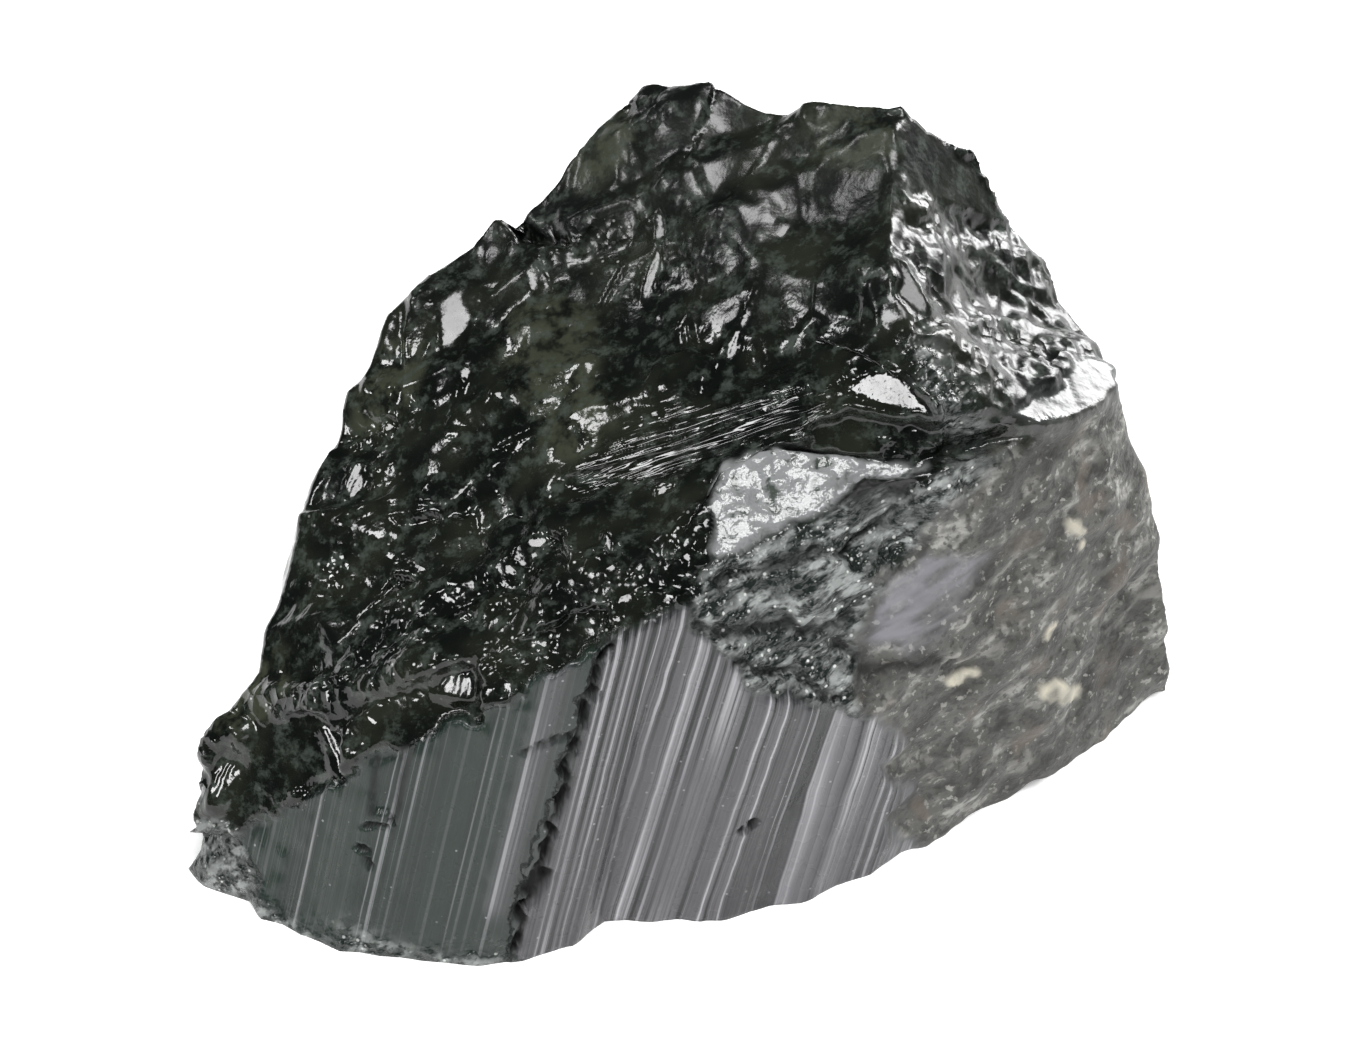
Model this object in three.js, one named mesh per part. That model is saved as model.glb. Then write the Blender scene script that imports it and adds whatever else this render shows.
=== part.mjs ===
// A broken piece of one black tourmaline crystal, lying on its flat broken foot.
// The front keeps two ridged prism faces and the right side a weathered one. The top is a glassy
// fracture that climbs from the left corner to a crest, with a stepped shelf above the front faces.
// Millimetres, +Z up, origin at the bottom centre of the stone, front towards -Y.
import * as THREE from "three";
import { ImprovedNoise } from "three/addons/math/ImprovedNoise.js";
import { TessellateModifier } from "three/addons/modifiers/TessellateModifier.js";

// Driving dimensions, in millimetres
const STONE_WIDTH = 40; // left corner to right corner
const FACET_EDGE = 1.42; // longest edge of one facet of the skin
const RIDGE_PITCH = 2.3; // from one lengthwise ridge of a prism face to the next
const RIDGE_HEIGHT = 0.2;
const LEDGE_PITCH = 4.4; // from one step of the fracture to the next
const LEDGE_HEIGHT = 0.5;
const LEDGE_DROP = 0.28; // share of the pitch in which a step drops again
const LUMP = { pitch: 9, height: 0.6 }; // swells of the fracture
const BOWL = { pitch: 5.2, height: 1.1 }; // shell-shaped scars of the fracture
const CHIP = { pitch: 2.7, height: 0.45 }; // small scars on the fracture
const CRUST = { pitch: 3.2, height: 0.5 }; // the weathered side
const PIT = { pitch: 1.6, height: 0.3 };
const SIDE_BULGE = 0.4; // how far the unseen sides swell at mid height
const TOUCHING = 1e-6; // closer than this, two corners or a corner and the table are one place

// The crystal axis, along which the ridges run: it leans to the right and to the back
const CRYSTAL_AXIS = new THREE.Vector3(0.23, 0.22, 1).normalize();
const SIDE_FALL = 0.3; // share of that lean in the broken sides at the back
const LEDGE_CLIMB = new THREE.Vector3(-0.3, 0.8, 0.5).normalize(); // the way the steps go up

// Shares of a pitch or a height
const SCAR_LEVEL = 0.3; // the squared distance from a scar's middle at which the skin stays put
const RIDGE_MEAN = 0.6; // the mean height of the ridges, around which each one differs
const MOST_HALVINGS = 12; // how often a panel may be halved to reach the facet edge

// The corners are measured on one view of the stone from the front, from above the table.
// A corner is a column and a row of that view, and its height above the table in millimetres.
const VIEW = {
  pitch: THREE.MathUtils.degToRad(45),
  distance: 115,
  aimHeight: 17,
  middle: { column: 672.5, row: 530 },
  millimetresPerColumn: 0.0411,
};

// Corners of the fracture that several ribs run up to
const CROWN = {
  leftSlope: [335, 645, 11.3],
  frontLeft: [420, 560, 13.2],
  hollow: [520, 525, 14.9],
  front: [600, 480, 17.3],
  aboveShelf: [700, 455, 19.2],
  nearChip: [775, 425, 20.6],
  chipLeft: [886, 366, 22.5],
  chipRight: [908, 370, 22.9],
  crestFoot: [935, 400, 22.5],
  crestLow: [914, 340, 23.4],
  crestMiddle: [890, 255, 24.8],
  crestHigh: [893, 165, 26.0],
  rightHump: [800, 230, 23.6],
  leftHump: [660, 260, 21.4],
  behindNotch: [560, 300, 19.1],
  backLeft: [455, 400, 16.4],
  left: [385, 500, 13.9],
};

// The line in the middle of the fracture where the ribs from both sides meet
const SPINE = { low: [480, 470, 15.8], middle: [650, 390, 19.2], high: [800, 330, 22.2] };

// What the skin of a panel is like
const FINISH = {
  ridged: new THREE.Color(1, 0, 0),
  fracture: new THREE.Color(0, 1, 0),
  weathered: new THREE.Color(0, 0, 1),
  cleaved: new THREE.Color(0, 0, 0),
};

// Ribs run from the foot on the table up the side to the brow, over the broken rim, and on over
// the shelf and its step where there is one, to the crown and the spine. They go round the stone
// from the left corner along the front to the right corner.
const FRONT_RIBS = [
  {
    foot: [197, 866, 0],
    brow: [201, 800, 3.3],
    rim: [209, 734, 6.4],
    crown: CROWN.leftSlope,
    spine: SPINE.low,
    side: FINISH.fracture,
  },
  {
    foot: [262, 918, 0],
    brow: [275, 817, 4.6],
    rim: [225, 735, 7.2],
    crown: CROWN.leftSlope,
    spine: SPINE.low,
    side: FINISH.ridged,
  },
  {
    foot: [340, 950, 0],
    brow: [376, 768, 9.0],
    rim: [302, 718, 9.9],
    crown: CROWN.leftSlope,
    spine: SPINE.low,
    side: FINISH.ridged,
  },
  {
    foot: [420, 961, 0],
    brow: [481, 711, 12.5],
    rim: [430, 668, 13.6],
    crown: CROWN.frontLeft,
    spine: SPINE.low,
    side: FINISH.ridged,
  },
  {
    foot: [480, 966, 0],
    brow: [555, 673, 14.9],
    rim: [530, 628, 15.9],
    crown: CROWN.hollow,
    spine: SPINE.low,
    side: FINISH.ridged,
  },
  {
    foot: [522, 960, 0],
    brow: [600, 646, 15.9],
    rim: [605, 600, 17.4],
    crown: CROWN.front,
    spine: SPINE.middle,
    side: FINISH.ridged,
  },
  {
    foot: [572, 946, 0],
    brow: [655, 618, 16.6],
    rim: [665, 570, 18.0],
    crown: CROWN.front,
    spine: SPINE.middle,
    side: FINISH.ridged,
  },
  {
    foot: [604, 921, 0],
    brow: [694, 604, 16.9],
    rim: [706, 545, 18.6],
    shelf: [716, 482, 19.0],
    step: [722, 470, 19.6],
    crown: CROWN.aboveShelf,
    spine: SPINE.middle,
    side: FINISH.ridged,
  },
  {
    foot: [700, 921, 0],
    brow: [773, 695, 12.6],
    rim: [760, 515, 19.0],
    shelf: [765, 453, 19.2],
    step: [775, 440, 20.3],
    crown: CROWN.nearChip,
    spine: SPINE.high,
    side: FINISH.ridged,
  },
  {
    foot: [800, 902, 0],
    brow: [868, 718, 9.6],
    rim: [860, 490, 19.4],
    shelf: [850, 456, 19.1],
    step: [860, 404, 21.7],
    crown: CROWN.chipLeft,
    spine: SPINE.high,
    side: FINISH.ridged,
  },
  {
    foot: [890, 862, 0],
    brow: [965, 655, 10.4],
    rim: [962, 462, 19.8],
    shelf: [938, 452, 19.6],
    step: [938, 414, 22.0],
    crown: CROWN.chipRight,
    spine: SPINE.high,
    side: FINISH.weathered,
  },
  {
    foot: [1000, 808, 0],
    brow: [1055, 570, 12.8],
    rim: [1045, 434, 19.4],
    crown: CROWN.crestFoot,
    spine: SPINE.high,
    side: FINISH.weathered,
  },
  {
    foot: [1085, 750, 0],
    brow: [1120, 520, 12.9],
    rim: [1100, 410, 18.9],
    crown: CROWN.crestFoot,
    spine: SPINE.high,
    side: FINISH.weathered,
  },
  {
    foot: [1168, 690, 0],
    brow: [1161, 530, 10.0],
    rim: [1118, 392, 18.2],
    crown: CROWN.crestLow,
    spine: SPINE.high,
    side: FINISH.weathered,
  },
];

// The unseen sides, from the right corner round the back to the left one, fall from these rim corners
const BACK_RIBS = [
  { rim: [1090, 335, 18.0], crown: CROWN.crestLow, spine: SPINE.high, side: FINISH.ridged },
  { rim: [1052, 262, 19.3], crown: CROWN.crestMiddle, spine: SPINE.high, side: FINISH.ridged },
  { rim: [1000, 222, 21.0], crown: CROWN.crestMiddle, spine: SPINE.high, side: FINISH.ridged },
  { rim: [962, 156, 24.2], crown: CROWN.crestHigh, spine: SPINE.high, side: FINISH.ridged },
  { rim: [885, 97, 27.0], crown: CROWN.crestHigh, spine: SPINE.high, side: FINISH.ridged },
  { rim: [830, 101, 26.4], crown: CROWN.rightHump, spine: SPINE.high, side: FINISH.fracture },
  { rim: [788, 114, 25.0], crown: CROWN.rightHump, spine: SPINE.high, side: FINISH.fracture },
  { rim: [705, 88, 25.0], crown: CROWN.leftHump, spine: SPINE.middle, side: FINISH.fracture },
  { rim: [640, 87, 24.0], crown: CROWN.leftHump, spine: SPINE.middle, side: FINISH.fracture },
  { rim: [578, 148, 22.0], crown: CROWN.behindNotch, spine: SPINE.middle, side: FINISH.fracture },
  { rim: [523, 222, 19.6], crown: CROWN.behindNotch, spine: SPINE.middle, side: FINISH.fracture },
  { rim: [495, 217, 19.8], crown: CROWN.backLeft, spine: SPINE.low, side: FINISH.fracture },
  { rim: [392, 318, 16.8], crown: CROWN.backLeft, spine: SPINE.low, side: FINISH.fracture },
  { rim: [330, 440, 13.8], crown: CROWN.left, spine: SPINE.low, side: FINISH.fracture },
  { rim: [308, 545, 11.3], crown: CROWN.left, spine: SPINE.low, side: FINISH.fracture },
  { rim: [262, 662, 9.0], crown: CROWN.leftSlope, spine: SPINE.low, side: FINISH.fracture },
];

const noise = new ImprovedNoise();

// Where the sight line through a column and a row of the view meets the given height.
function corner([column, row, height]) {
  const { pitch, distance, aimHeight, middle, millimetresPerColumn } = VIEW;
  const towardsEye = new THREE.Vector3(0, -Math.cos(pitch), Math.sin(pitch));
  const upInView = new THREE.Vector3(0, Math.sin(pitch), Math.cos(pitch));
  const eye = towardsEye.clone().multiplyScalar(distance).add(new THREE.Vector3(0, 0, aimHeight));
  const sight = new THREE.Vector3((column - middle.column) * millimetresPerColumn, 0, 0)
    .addScaledVector(upInView, (middle.row - row) * millimetresPerColumn)
    .addScaledVector(towardsEye, -distance);
  return eye.addScaledVector(sight, (height - eye.z) / sight.z);
}

// The seven corners of a rib from foot to spine. Where there is no shelf, shelf and step are the rim.
function frontRib({ foot, brow, rim, shelf = rim, step = rim, crown, spine, side }) {
  const corners = [foot, brow, rim, shelf, step, crown, spine].map(corner);
  return { side, corners, hasShelf: shelf !== rim };
}

// A rib at the back: its foot is below the rim, moved by part of the axis' lean.
function backRib({ rim, crown, spine, side }) {
  const top = corner(rim);
  const fall = (SIDE_FALL * top.z) / CRYSTAL_AXIS.z;
  const foot = top.clone().addScaledVector(CRYSTAL_AXIS, -fall).setZ(0);
  const outward = new THREE.Vector3(top.x, top.y, 0).normalize();
  const brow = top.clone().lerp(foot, 0.5).addScaledVector(outward, SIDE_BULGE);
  const corners = [foot, brow, top, top, top, corner(crown), corner(spine)];
  return { side, corners, hasShelf: false };
}

// The side's own finish up to the brow, or to the rim where it is weathered, then the fracture. The
// shelf, its step and the chip behind it are flat cleaved faces.
function panelFinish(rib, next, level) {
  if (level === 0 || (level === 1 && rib.side === FINISH.weathered)) return rib.side;
  const onShelf = level >= 2 && level <= 4;
  return onShelf && rib.hasShelf && next.hasShelf ? FINISH.cleaved : FINISH.fracture;
}

// Panels between neighbouring ribs as loose triangles, with the finish of each as its vertex colour.
function skinOver(ribs) {
  const positions = [];
  const finishes = [];
  const addTriangle = (a, b, c, finish) => {
    if (new THREE.Triangle(a, b, c).getArea() < TOUCHING) return;
    for (const point of [a, b, c]) {
      positions.push(...point);
      finishes.push(...finish);
    }
  };
  ribs.forEach((rib, index) => {
    const next = ribs[(index + 1) % ribs.length];
    for (let level = 0; level + 1 < rib.corners.length; level++) {
      const [lowLeft, highLeft] = rib.corners.slice(level, level + 2);
      const [lowRight, highRight] = next.corners.slice(level, level + 2);
      const finish = panelFinish(rib, next, level);
      if (lowLeft.distanceTo(highRight) < lowRight.distanceTo(highLeft)) {
        addTriangle(lowLeft, lowRight, highRight, finish);
        addTriangle(lowLeft, highRight, highLeft, finish);
      } else {
        addTriangle(lowLeft, lowRight, highLeft, finish);
        addTriangle(lowRight, highRight, highLeft, finish);
      }
    }
  });
  return new THREE.BufferGeometry()
    .setAttribute("position", new THREE.Float32BufferAttribute(positions, 3))
    .setAttribute("color", new THREE.Float32BufferAttribute(finishes, 3));
}

// Loose triangles as shared points, each with its mean finish and its outward normal.
function weld(loose) {
  const byPlace = new Map();
  const points = [];
  const triangles = [];
  const position = loose.getAttribute("position");
  const colour = loose.getAttribute("color");
  for (let i = 0; i < position.count; i++) {
    const place = new THREE.Vector3().fromBufferAttribute(position, i);
    const key = place.toArray().map((value) => value.toFixed(3)).join();
    if (!byPlace.has(key)) {
      byPlace.set(key, points.length);
      points.push({ place, normal: new THREE.Vector3(), finish: new THREE.Color(0, 0, 0), uses: 0 });
    }
    const point = points[byPlace.get(key)];
    point.finish.add(new THREE.Color().fromBufferAttribute(colour, i));
    point.uses += 1;
    triangles.push(byPlace.get(key));
  }
  for (let i = 0; i < triangles.length; i += 3) {
    const [a, b, c] = triangles.slice(i, i + 3).map((index) => points[index]);
    const areaNormal = b.place.clone().sub(a.place).cross(c.place.clone().sub(a.place));
    for (const point of [a, b, c]) point.normal.add(areaNormal);
  }
  for (const point of points) {
    point.normal.normalize();
    point.finish.multiplyScalar(1 / point.uses);
  }
  return { points, triangles };
}

// Smooth noise in millimetres of swing, at the given pitch.
function swell(place, { pitch, height }) {
  return height * noise.noise(place.x / pitch, place.y / pitch, place.z / pitch);
}

// Lengthwise ridges: a rise and fall with the distance across the crystal axis, of uneven height.
function ridgeRelief(place, normal) {
  const across = CRYSTAL_AXIS.clone().cross(normal).normalize().dot(place) / RIDGE_PITCH;
  const phase = across - Math.floor(across);
  const unevenness = RIDGE_MEAN + noise.noise(Math.floor(across) + 0.5, 0.5, 0.5);
  return RIDGE_HEIGHT * unevenness * (1 - 4 * Math.abs(phase - 0.5));
}

// Shell-shaped scars with sharp edges between them: the squared distance to the nearest of a set of
// scattered scar middles, one in each cube of the pitch.
function scars(place, { pitch, height }) {
  const here = place.clone().divideScalar(pitch);
  const cube = here.clone().floor();
  let nearest = Infinity;
  for (const east of [-1, 0, 1]) {
    for (const north of [-1, 0, 1]) {
      for (const up of [-1, 0, 1]) {
        const middle = cube.clone().add(new THREE.Vector3(east + 0.5, north + 0.5, up + 0.5));
        middle.x += noise.noise(middle.x, middle.y, middle.z);
        middle.y += noise.noise(middle.z, middle.x, middle.y);
        middle.z += noise.noise(middle.y, middle.z, middle.x);
        nearest = Math.min(nearest, middle.distanceToSquared(here));
      }
    }
  }
  return height * (nearest - SCAR_LEVEL);
}

// Steps that rise slowly and drop quickly in the direction they climb.
function ledges(place) {
  const climb = place.dot(LEDGE_CLIMB) / LEDGE_PITCH + swell(place, { ...LUMP, height: 1 });
  const phase = climb - Math.floor(climb);
  const rise = Math.min(phase / (1 - LEDGE_DROP), (1 - phase) / LEDGE_DROP);
  return LEDGE_HEIGHT * (rise - 0.5);
}

// The fracture: swells and steps, with large and small scars in them.
function fractureRelief(place) {
  return swell(place, LUMP) + ledges(place) + scars(place, BOWL) + scars(place, CHIP);
}

// The weathered side: a lumpy crust with pits.
function weatheredRelief(place) {
  return swell(place, CRUST) - Math.abs(swell(place, PIT));
}

// Moves each point out or in by the relief of its finish. Points on the table stay on it.
function carve({ points }) {
  for (const { place, normal, finish } of points) {
    const relief =
      finish.r * ridgeRelief(place, normal) +
      finish.g * fractureRelief(place) +
      finish.b * weatheredRelief(place);
    const onTable = place.z < TOUCHING;
    place.addScaledVector(normal, relief);
    place.z = onTable ? 0 : Math.max(place.z, 0);
  }
}

// Closes the open bottom with a flat fan from its middle to the points on the table, in order round it.
function closeFoot({ points, triangles }) {
  const onTable = points.map((point, index) => index).filter((index) => points[index].place.z === 0);
  const middle = new THREE.Vector3();
  for (const index of onTable) middle.add(points[index].place);
  middle.divideScalar(onTable.length);
  const bearing = (index) =>
    Math.atan2(points[index].place.y - middle.y, points[index].place.x - middle.x);
  onTable.sort((a, b) => bearing(a) - bearing(b));
  points.push({ place: middle });
  onTable.forEach((index, i) => {
    triangles.push(points.length - 1, onTable[(i + 1) % onTable.length], index);
  });
}

// The welded points as a geometry of the stone's real width, standing on its bottom centre.
function finishGeometry({ points, triangles }) {
  const geometry = new THREE.BufferGeometry().setFromPoints(points.map(({ place }) => place));
  geometry.setIndex(triangles);
  geometry.computeBoundingBox();
  const { min, max } = geometry.boundingBox;
  const scale = STONE_WIDTH / (max.x - min.x);
  geometry.translate(-(min.x + max.x) / 2, -(min.y + max.y) / 2, -min.z);
  geometry.scale(scale, scale, scale);
  geometry.computeVertexNormals();
  return geometry;
}

function buildCrystal() {
  const ribs = [...FRONT_RIBS.map(frontRib), ...BACK_RIBS.map(backRib)];
  const fine = new TessellateModifier(FACET_EDGE, MOST_HALVINGS).modify(skinOver(ribs));
  const skin = weld(fine);
  carve(skin);
  closeFoot(skin);
  const schorl = new THREE.MeshStandardMaterial({ color: 0x1c1e1c, roughness: 0.22, metalness: 0 });
  const mesh = new THREE.Mesh(finishGeometry(skin), schorl);
  mesh.name = "tourmaline_crystal";
  return mesh;
}

const stone = new THREE.Group();
stone.add(buildCrystal());

export default stone;
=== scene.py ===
"""A broken piece of black tourmaline on a pale table.

The stone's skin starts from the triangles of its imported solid. They are split until their edges are a
fraction of a millimetre and carved in whole arrays: lengthwise ridges on the prism faces, shell-shaped
scars, steps and flat chips on the glassy fracture, and lumps and grains on the weathered side. What each
stretch of the skin is like is kept as point attributes, which the stone's one material reads.
"""

import itertools
import logging
import math
from collections.abc import Callable
from dataclasses import dataclass, field
from enum import Enum

import bpy
import numpy as np
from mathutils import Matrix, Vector


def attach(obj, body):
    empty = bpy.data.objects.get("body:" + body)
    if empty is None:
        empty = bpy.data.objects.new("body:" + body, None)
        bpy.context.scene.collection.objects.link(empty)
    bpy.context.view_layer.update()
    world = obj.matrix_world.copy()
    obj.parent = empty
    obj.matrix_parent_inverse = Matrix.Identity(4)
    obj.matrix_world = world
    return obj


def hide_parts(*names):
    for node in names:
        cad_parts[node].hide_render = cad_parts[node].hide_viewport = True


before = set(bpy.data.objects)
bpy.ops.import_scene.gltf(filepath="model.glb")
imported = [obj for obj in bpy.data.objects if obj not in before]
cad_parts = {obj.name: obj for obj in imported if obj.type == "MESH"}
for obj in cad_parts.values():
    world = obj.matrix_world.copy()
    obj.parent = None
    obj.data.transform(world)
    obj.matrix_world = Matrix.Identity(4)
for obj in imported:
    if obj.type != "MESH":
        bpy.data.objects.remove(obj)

LOG = logging.getLogger("tourmaline")
STONE_NODE = "tourmaline_crystal"
MM = 0.001
CRYSTAL_AXIS = (0.23, 0.22, 1.0)

Array = np.ndarray
Socket = bpy.types.NodeSocket
Pair = tuple[float, float]
Pixel = Pair
Triple = tuple[float, float, float]
Colour = tuple[float, float, float, float]

# Numbers that mix the bits of a cell and a seed into a fixed random number

AXIS_PRIMES = (374761393, 668265263, 3266489917)
SEED_PRIME = 2246822519
SHIFTS_AND_FACTORS = ((15, 2654435761), (13, 1274126177))
LAST_SHIFT = 16
WORD = 2**32

# Numbers that are as good as nothing

NO_LENGTH = 1e-12
NO_RISE = 1e-9

# Sizes of the patterns, in units of their pitch, and what is added to their seeds

OCTAVE_SUM = 1.5
USUAL_SQUARE = 0.3
FLAKE_BORDER = 0.12
FLAKE_LEVEL = 0.5
FLAKE_SLOPE_SEED = 7
FLAKE_LEVEL_SEED = 11


class Zone(Enum):
    """Names of the point attributes that tell the material what the skin is like."""

    RIDGED = "ridged"
    VIOLET = "violet"
    ACROSS = "across"
    CRUST = "crust"
    CREAM = "cream"
    OLIVE = "olive"
    # Painted shade in the groove, pits, crevices and cracks
    SHADE = "shade"
    # Where it is cleaved: crinkled folds, with painted highlights in the colour
    CLEAVED = "cleaved"
    LAMINAE = "laminae"
    # Where it is chipped: fine shells in the height, and painted glints in the colour
    CHIPPED = "chipped"
    GRAVEL = "gravel"
    SATIN = "satin"
    RIPPLE = "ripple"
    RIPPLED = "rippled"


class Beam(Enum):
    """Where the lights hang, in metres."""

    OVERHEAD = (0.07, -0.08, 0.59)
    RIGHT = (0.36, 0.43, 0.205)
    LEFT = (-0.43, 0.09, 0.41)
    FRONT_LEFT = (-0.34, -0.34, 0.35)


# Array helpers


def unit(vectors: Array) -> Array:
    """Vectors divided by their lengths, along the last axis."""
    return vectors / np.maximum(np.linalg.norm(vectors, axis=-1, keepdims=True), NO_LENGTH)


def ease(low: float, high: float, values: Array) -> Array:
    """A smooth step: 0 below low, 1 above high, and 3t^2 - 2t^3 of the share t between."""
    share = limited((values - low) / (high - low))
    return share * share * (3.0 - 2.0 * share)


def limited(values: Array) -> Array:
    """Values kept from 0 to 1."""
    return np.clip(values, 0.0, 1.0)


def scatter(cells: Array, seed: int) -> Array:
    """One fixed random number from 0 to 1 for each whole-numbered cell.

    Args:
        cells: Whole numbers, with the three components on the last axis.
        seed: Chooses one of many such sets.

    Returns:
        The random numbers, one for each cell.
    """
    parts = [cells[..., axis].astype(np.uint32) * np.uint32(prime) for axis, prime in enumerate(AXIS_PRIMES)]
    mixed = sum(parts) + np.uint32(seed * SEED_PRIME % WORD)
    for shift, factor in SHIFTS_AND_FACTORS:
        mixed = (mixed ^ (mixed >> np.uint32(shift))) * np.uint32(factor)
    mixed = mixed ^ (mixed >> np.uint32(LAST_SHIFT))
    return mixed.astype(np.float64) / WORD


def swell(places: Array, pitch: float, seed: int) -> Array:
    """Smooth noise from -1 to 1: random numbers at the corners of cubes, blended by 6t^5 - 15t^4 + 10t^3.

    Args:
        places: Points, in the unit of the pitch.
        pitch: Edge of a cube.
        seed: Chooses the noise.

    Returns:
        One number for each point.
    """
    scaled = places / pitch
    base = np.floor(scaled).astype(np.int64)
    share = scaled - base
    blend = share**3 * (share * (share * 6.0 - 15.0) + 10.0)
    total = np.zeros(len(places))
    for corner in itertools.product((0, 1), repeat=3):
        weight = np.where(np.array(corner, bool), blend, 1.0 - blend).prod(axis=1)
        total += weight * (2.0 * scatter(base + np.array(corner), seed) - 1.0)
    return total


def octaves(places: Array, pitch: float, seed: int, count: int = 3) -> Array:
    """Sum of swells, each at half the pitch and half the height of the one before, about -1 to 1."""
    return sum(swell(places, pitch / 2**step, seed + step) / 2**step for step in range(count)) / OCTAVE_SUM


@dataclass
class Cells:
    """Which of the scattered middles is nearest to each point, in units of the pitch."""

    nearest: Array
    second: Array
    offset: Array
    owner: Array


def cells(places: Array, pitch: float, seed: int) -> Cells:
    """Cells around middles that are scattered one to a cube.

    Args:
        places: Points, in the unit of the pitch.
        pitch: Edge of a cube.
        seed: Chooses the scatter.

    Returns:
        Distances to the nearest and second nearest middle, the way from the nearest, and its cube.
    """
    scaled = places / pitch
    base = np.floor(scaled).astype(np.int64)
    nearest = np.full(len(places), np.inf)
    second = np.full(len(places), np.inf)
    offset = np.zeros_like(scaled)
    owner = np.zeros_like(base)
    for corner in itertools.product((-1, 0, 1), repeat=3):
        cube = base + np.array(corner)
        jitter = np.stack([scatter(cube, seed + axis) for axis in range(3)], axis=1)
        gap = scaled - cube - jitter
        distance = np.linalg.norm(gap, axis=1)
        closer = distance < nearest
        second = np.where(closer, nearest, np.minimum(second, distance))
        nearest = np.where(closer, distance, nearest)
        offset[closer] = gap[closer]
        owner[closer] = cube[closer]
    return Cells(nearest, second, offset, owner)


def creases(places: Array, pitch: float, seed: int) -> Array:
    """Smooth noise folded at zero, from 0 to 1, so that it is lowest along sharp winding lines."""
    return np.abs(swell(places, pitch, seed))


def scars(places: Array, pitch: float, seed: int) -> Array:
    """Shell-shaped hollows with sharp edges: the squared distance to the nearest middle, less a usual one."""
    return cells(places, pitch, seed).nearest ** 2 - USUAL_SQUARE


def flakes(places: Array, pitch: float, seed: int) -> Array:
    """Tilted flat flakes: in each cell a plane of its own random slope and height.

    Args:
        places: Points, in the unit of the pitch.
        pitch: Size of a flake.
        seed: Chooses their places and slopes.

    Returns:
        Heights for flakes that slope by about one unit in a pitch.
    """
    found = cells(places, pitch, seed)
    chances = [scatter(found.owner, seed + FLAKE_SLOPE_SEED + axis) for axis in range(3)]
    slope = 2.0 * np.stack(chances, axis=1) - 1.0
    level = scatter(found.owner, seed + FLAKE_LEVEL_SEED) - 0.5
    border = ease(0.0, FLAKE_BORDER, found.second - found.nearest)
    return ((slope * found.offset).sum(axis=1) + FLAKE_LEVEL * level) * border


@dataclass(frozen=True)
class Wave:
    """One layer of a pattern: its kind, its height, its pitch in millimetres and its seed."""

    pattern: Callable[[Array, float, int], Array]
    height: float
    pitch: float
    seed: int

    def at(self, places: Array) -> Array:
        """The layer's heights at points in millimetres."""
        return self.height * self.pattern(places, self.pitch, self.seed)


def layers(places: Array, waves: tuple[Wave, ...]) -> Array:
    """The heights of several layers, added up at points in millimetres."""
    return sum(wave.at(places) for wave in waves)


def stretched(places: Array, way: Array, factor: float) -> Array:
    """Points squeezed along a way of length one, so that a pattern read there comes out longer that way."""
    along = (places @ way)[:, None] * way
    return places - along * (1.0 - 1.0 / factor)


# The photograph's view


@dataclass(frozen=True)
class PhotoView:
    """The view that the stone is seen in: from the front and above, with a short telephoto lens."""

    columns: float = 1345.0
    rows: float = 1060.0
    focal_pixels: float = 2798.0
    pitch_degrees: float = 45.0
    distance: float = 102.95 * MM
    aim: Triple = (-0.82 * MM, -5.25 * MM, 15.22 * MM)
    sensor_mm: float = 36.0

    @property
    def towards_eye(self) -> Array:
        """The way from the stone to the camera."""
        pitch = math.radians(self.pitch_degrees)
        return np.array([0.0, -math.cos(pitch), math.sin(pitch)])

    @property
    def upwards(self) -> Array:
        """The way that is up in the picture."""
        pitch = math.radians(self.pitch_degrees)
        return np.array([0.0, math.sin(pitch), math.cos(pitch)])

    @property
    def eye(self) -> Array:
        """Where the camera is."""
        return np.array(self.aim) + self.distance * self.towards_eye

    def project(self, points: Array) -> Array:
        """Columns and rows at which points are seen.

        Args:
            points: Points in metres.

        Returns:
            One column and row for each point.
        """
        away = points - self.eye
        depth = away @ -self.towards_eye
        column = self.columns / 2 + self.focal_pixels * away[:, 0] / depth
        row = self.rows / 2 - self.focal_pixels * (away @ self.upwards) / depth
        return np.stack([column, row], axis=1)

    def facing(self, points: Array, normals: Array) -> Array:
        """How squarely the skin faces the camera: the cosine between normal and sight line."""
        return (unit(self.eye - points) * normals).sum(axis=1)

    def add_camera(self) -> bpy.types.Object:
        """Makes the camera and sets it as the scene's own.

        Returns:
            The camera object.
        """
        data = bpy.data.cameras.new("photo_camera")
        data.sensor_fit = "HORIZONTAL"
        data.sensor_width = self.sensor_mm
        data.lens = self.focal_pixels / self.columns * self.sensor_mm
        data.clip_start = MM
        camera = bpy.data.objects.new("photo_camera", data)
        camera.location = Vector(self.eye)
        camera.rotation_euler = (math.radians(90.0 - self.pitch_degrees), 0.0, 0.0)
        bpy.context.scene.collection.objects.link(camera)
        bpy.context.scene.camera = camera
        return camera


def segment_distance(seen: Array, start: Pixel, end: Pixel) -> Array:
    """Distance of each seen point to a straight stretch between two pixels.

    Args:
        seen: Columns and rows.
        start: One end.
        end: The other end.

    Returns:
        Distances in pixels.
    """
    run = np.subtract(end, start)
    share = limited((seen - start) @ run / (run @ run))
    return np.linalg.norm(seen - (np.array(start) + share[:, None] * run), axis=1)


@dataclass(frozen=True)
class Patch:
    """An area of the view, given by its corners in pixels."""

    corners: tuple[Pixel, ...]
    softness: float = 7.0

    def cover(self, seen: Array) -> Array:
        """How far inside each point is, from 0 to 1 over a border of twice the softness.

        Args:
            seen: Columns and rows.

        Returns:
            One share for each point.
        """
        inside = np.zeros(len(seen), bool)
        nearest = np.full(len(seen), np.inf)
        for start, end in zip(self.corners, self.corners[1:] + self.corners[:1]):
            nearest = np.minimum(nearest, segment_distance(seen, start, end))
            spans = (start[1] > seen[:, 1]) != (end[1] > seen[:, 1])
            rise = end[1] - start[1] or NO_RISE
            crossing = start[0] + (seen[:, 1] - start[1]) * (end[0] - start[0]) / rise
            inside ^= spans & (seen[:, 0] < crossing)
        return ease(-self.softness, self.softness, np.where(inside, nearest, -nearest))


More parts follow.
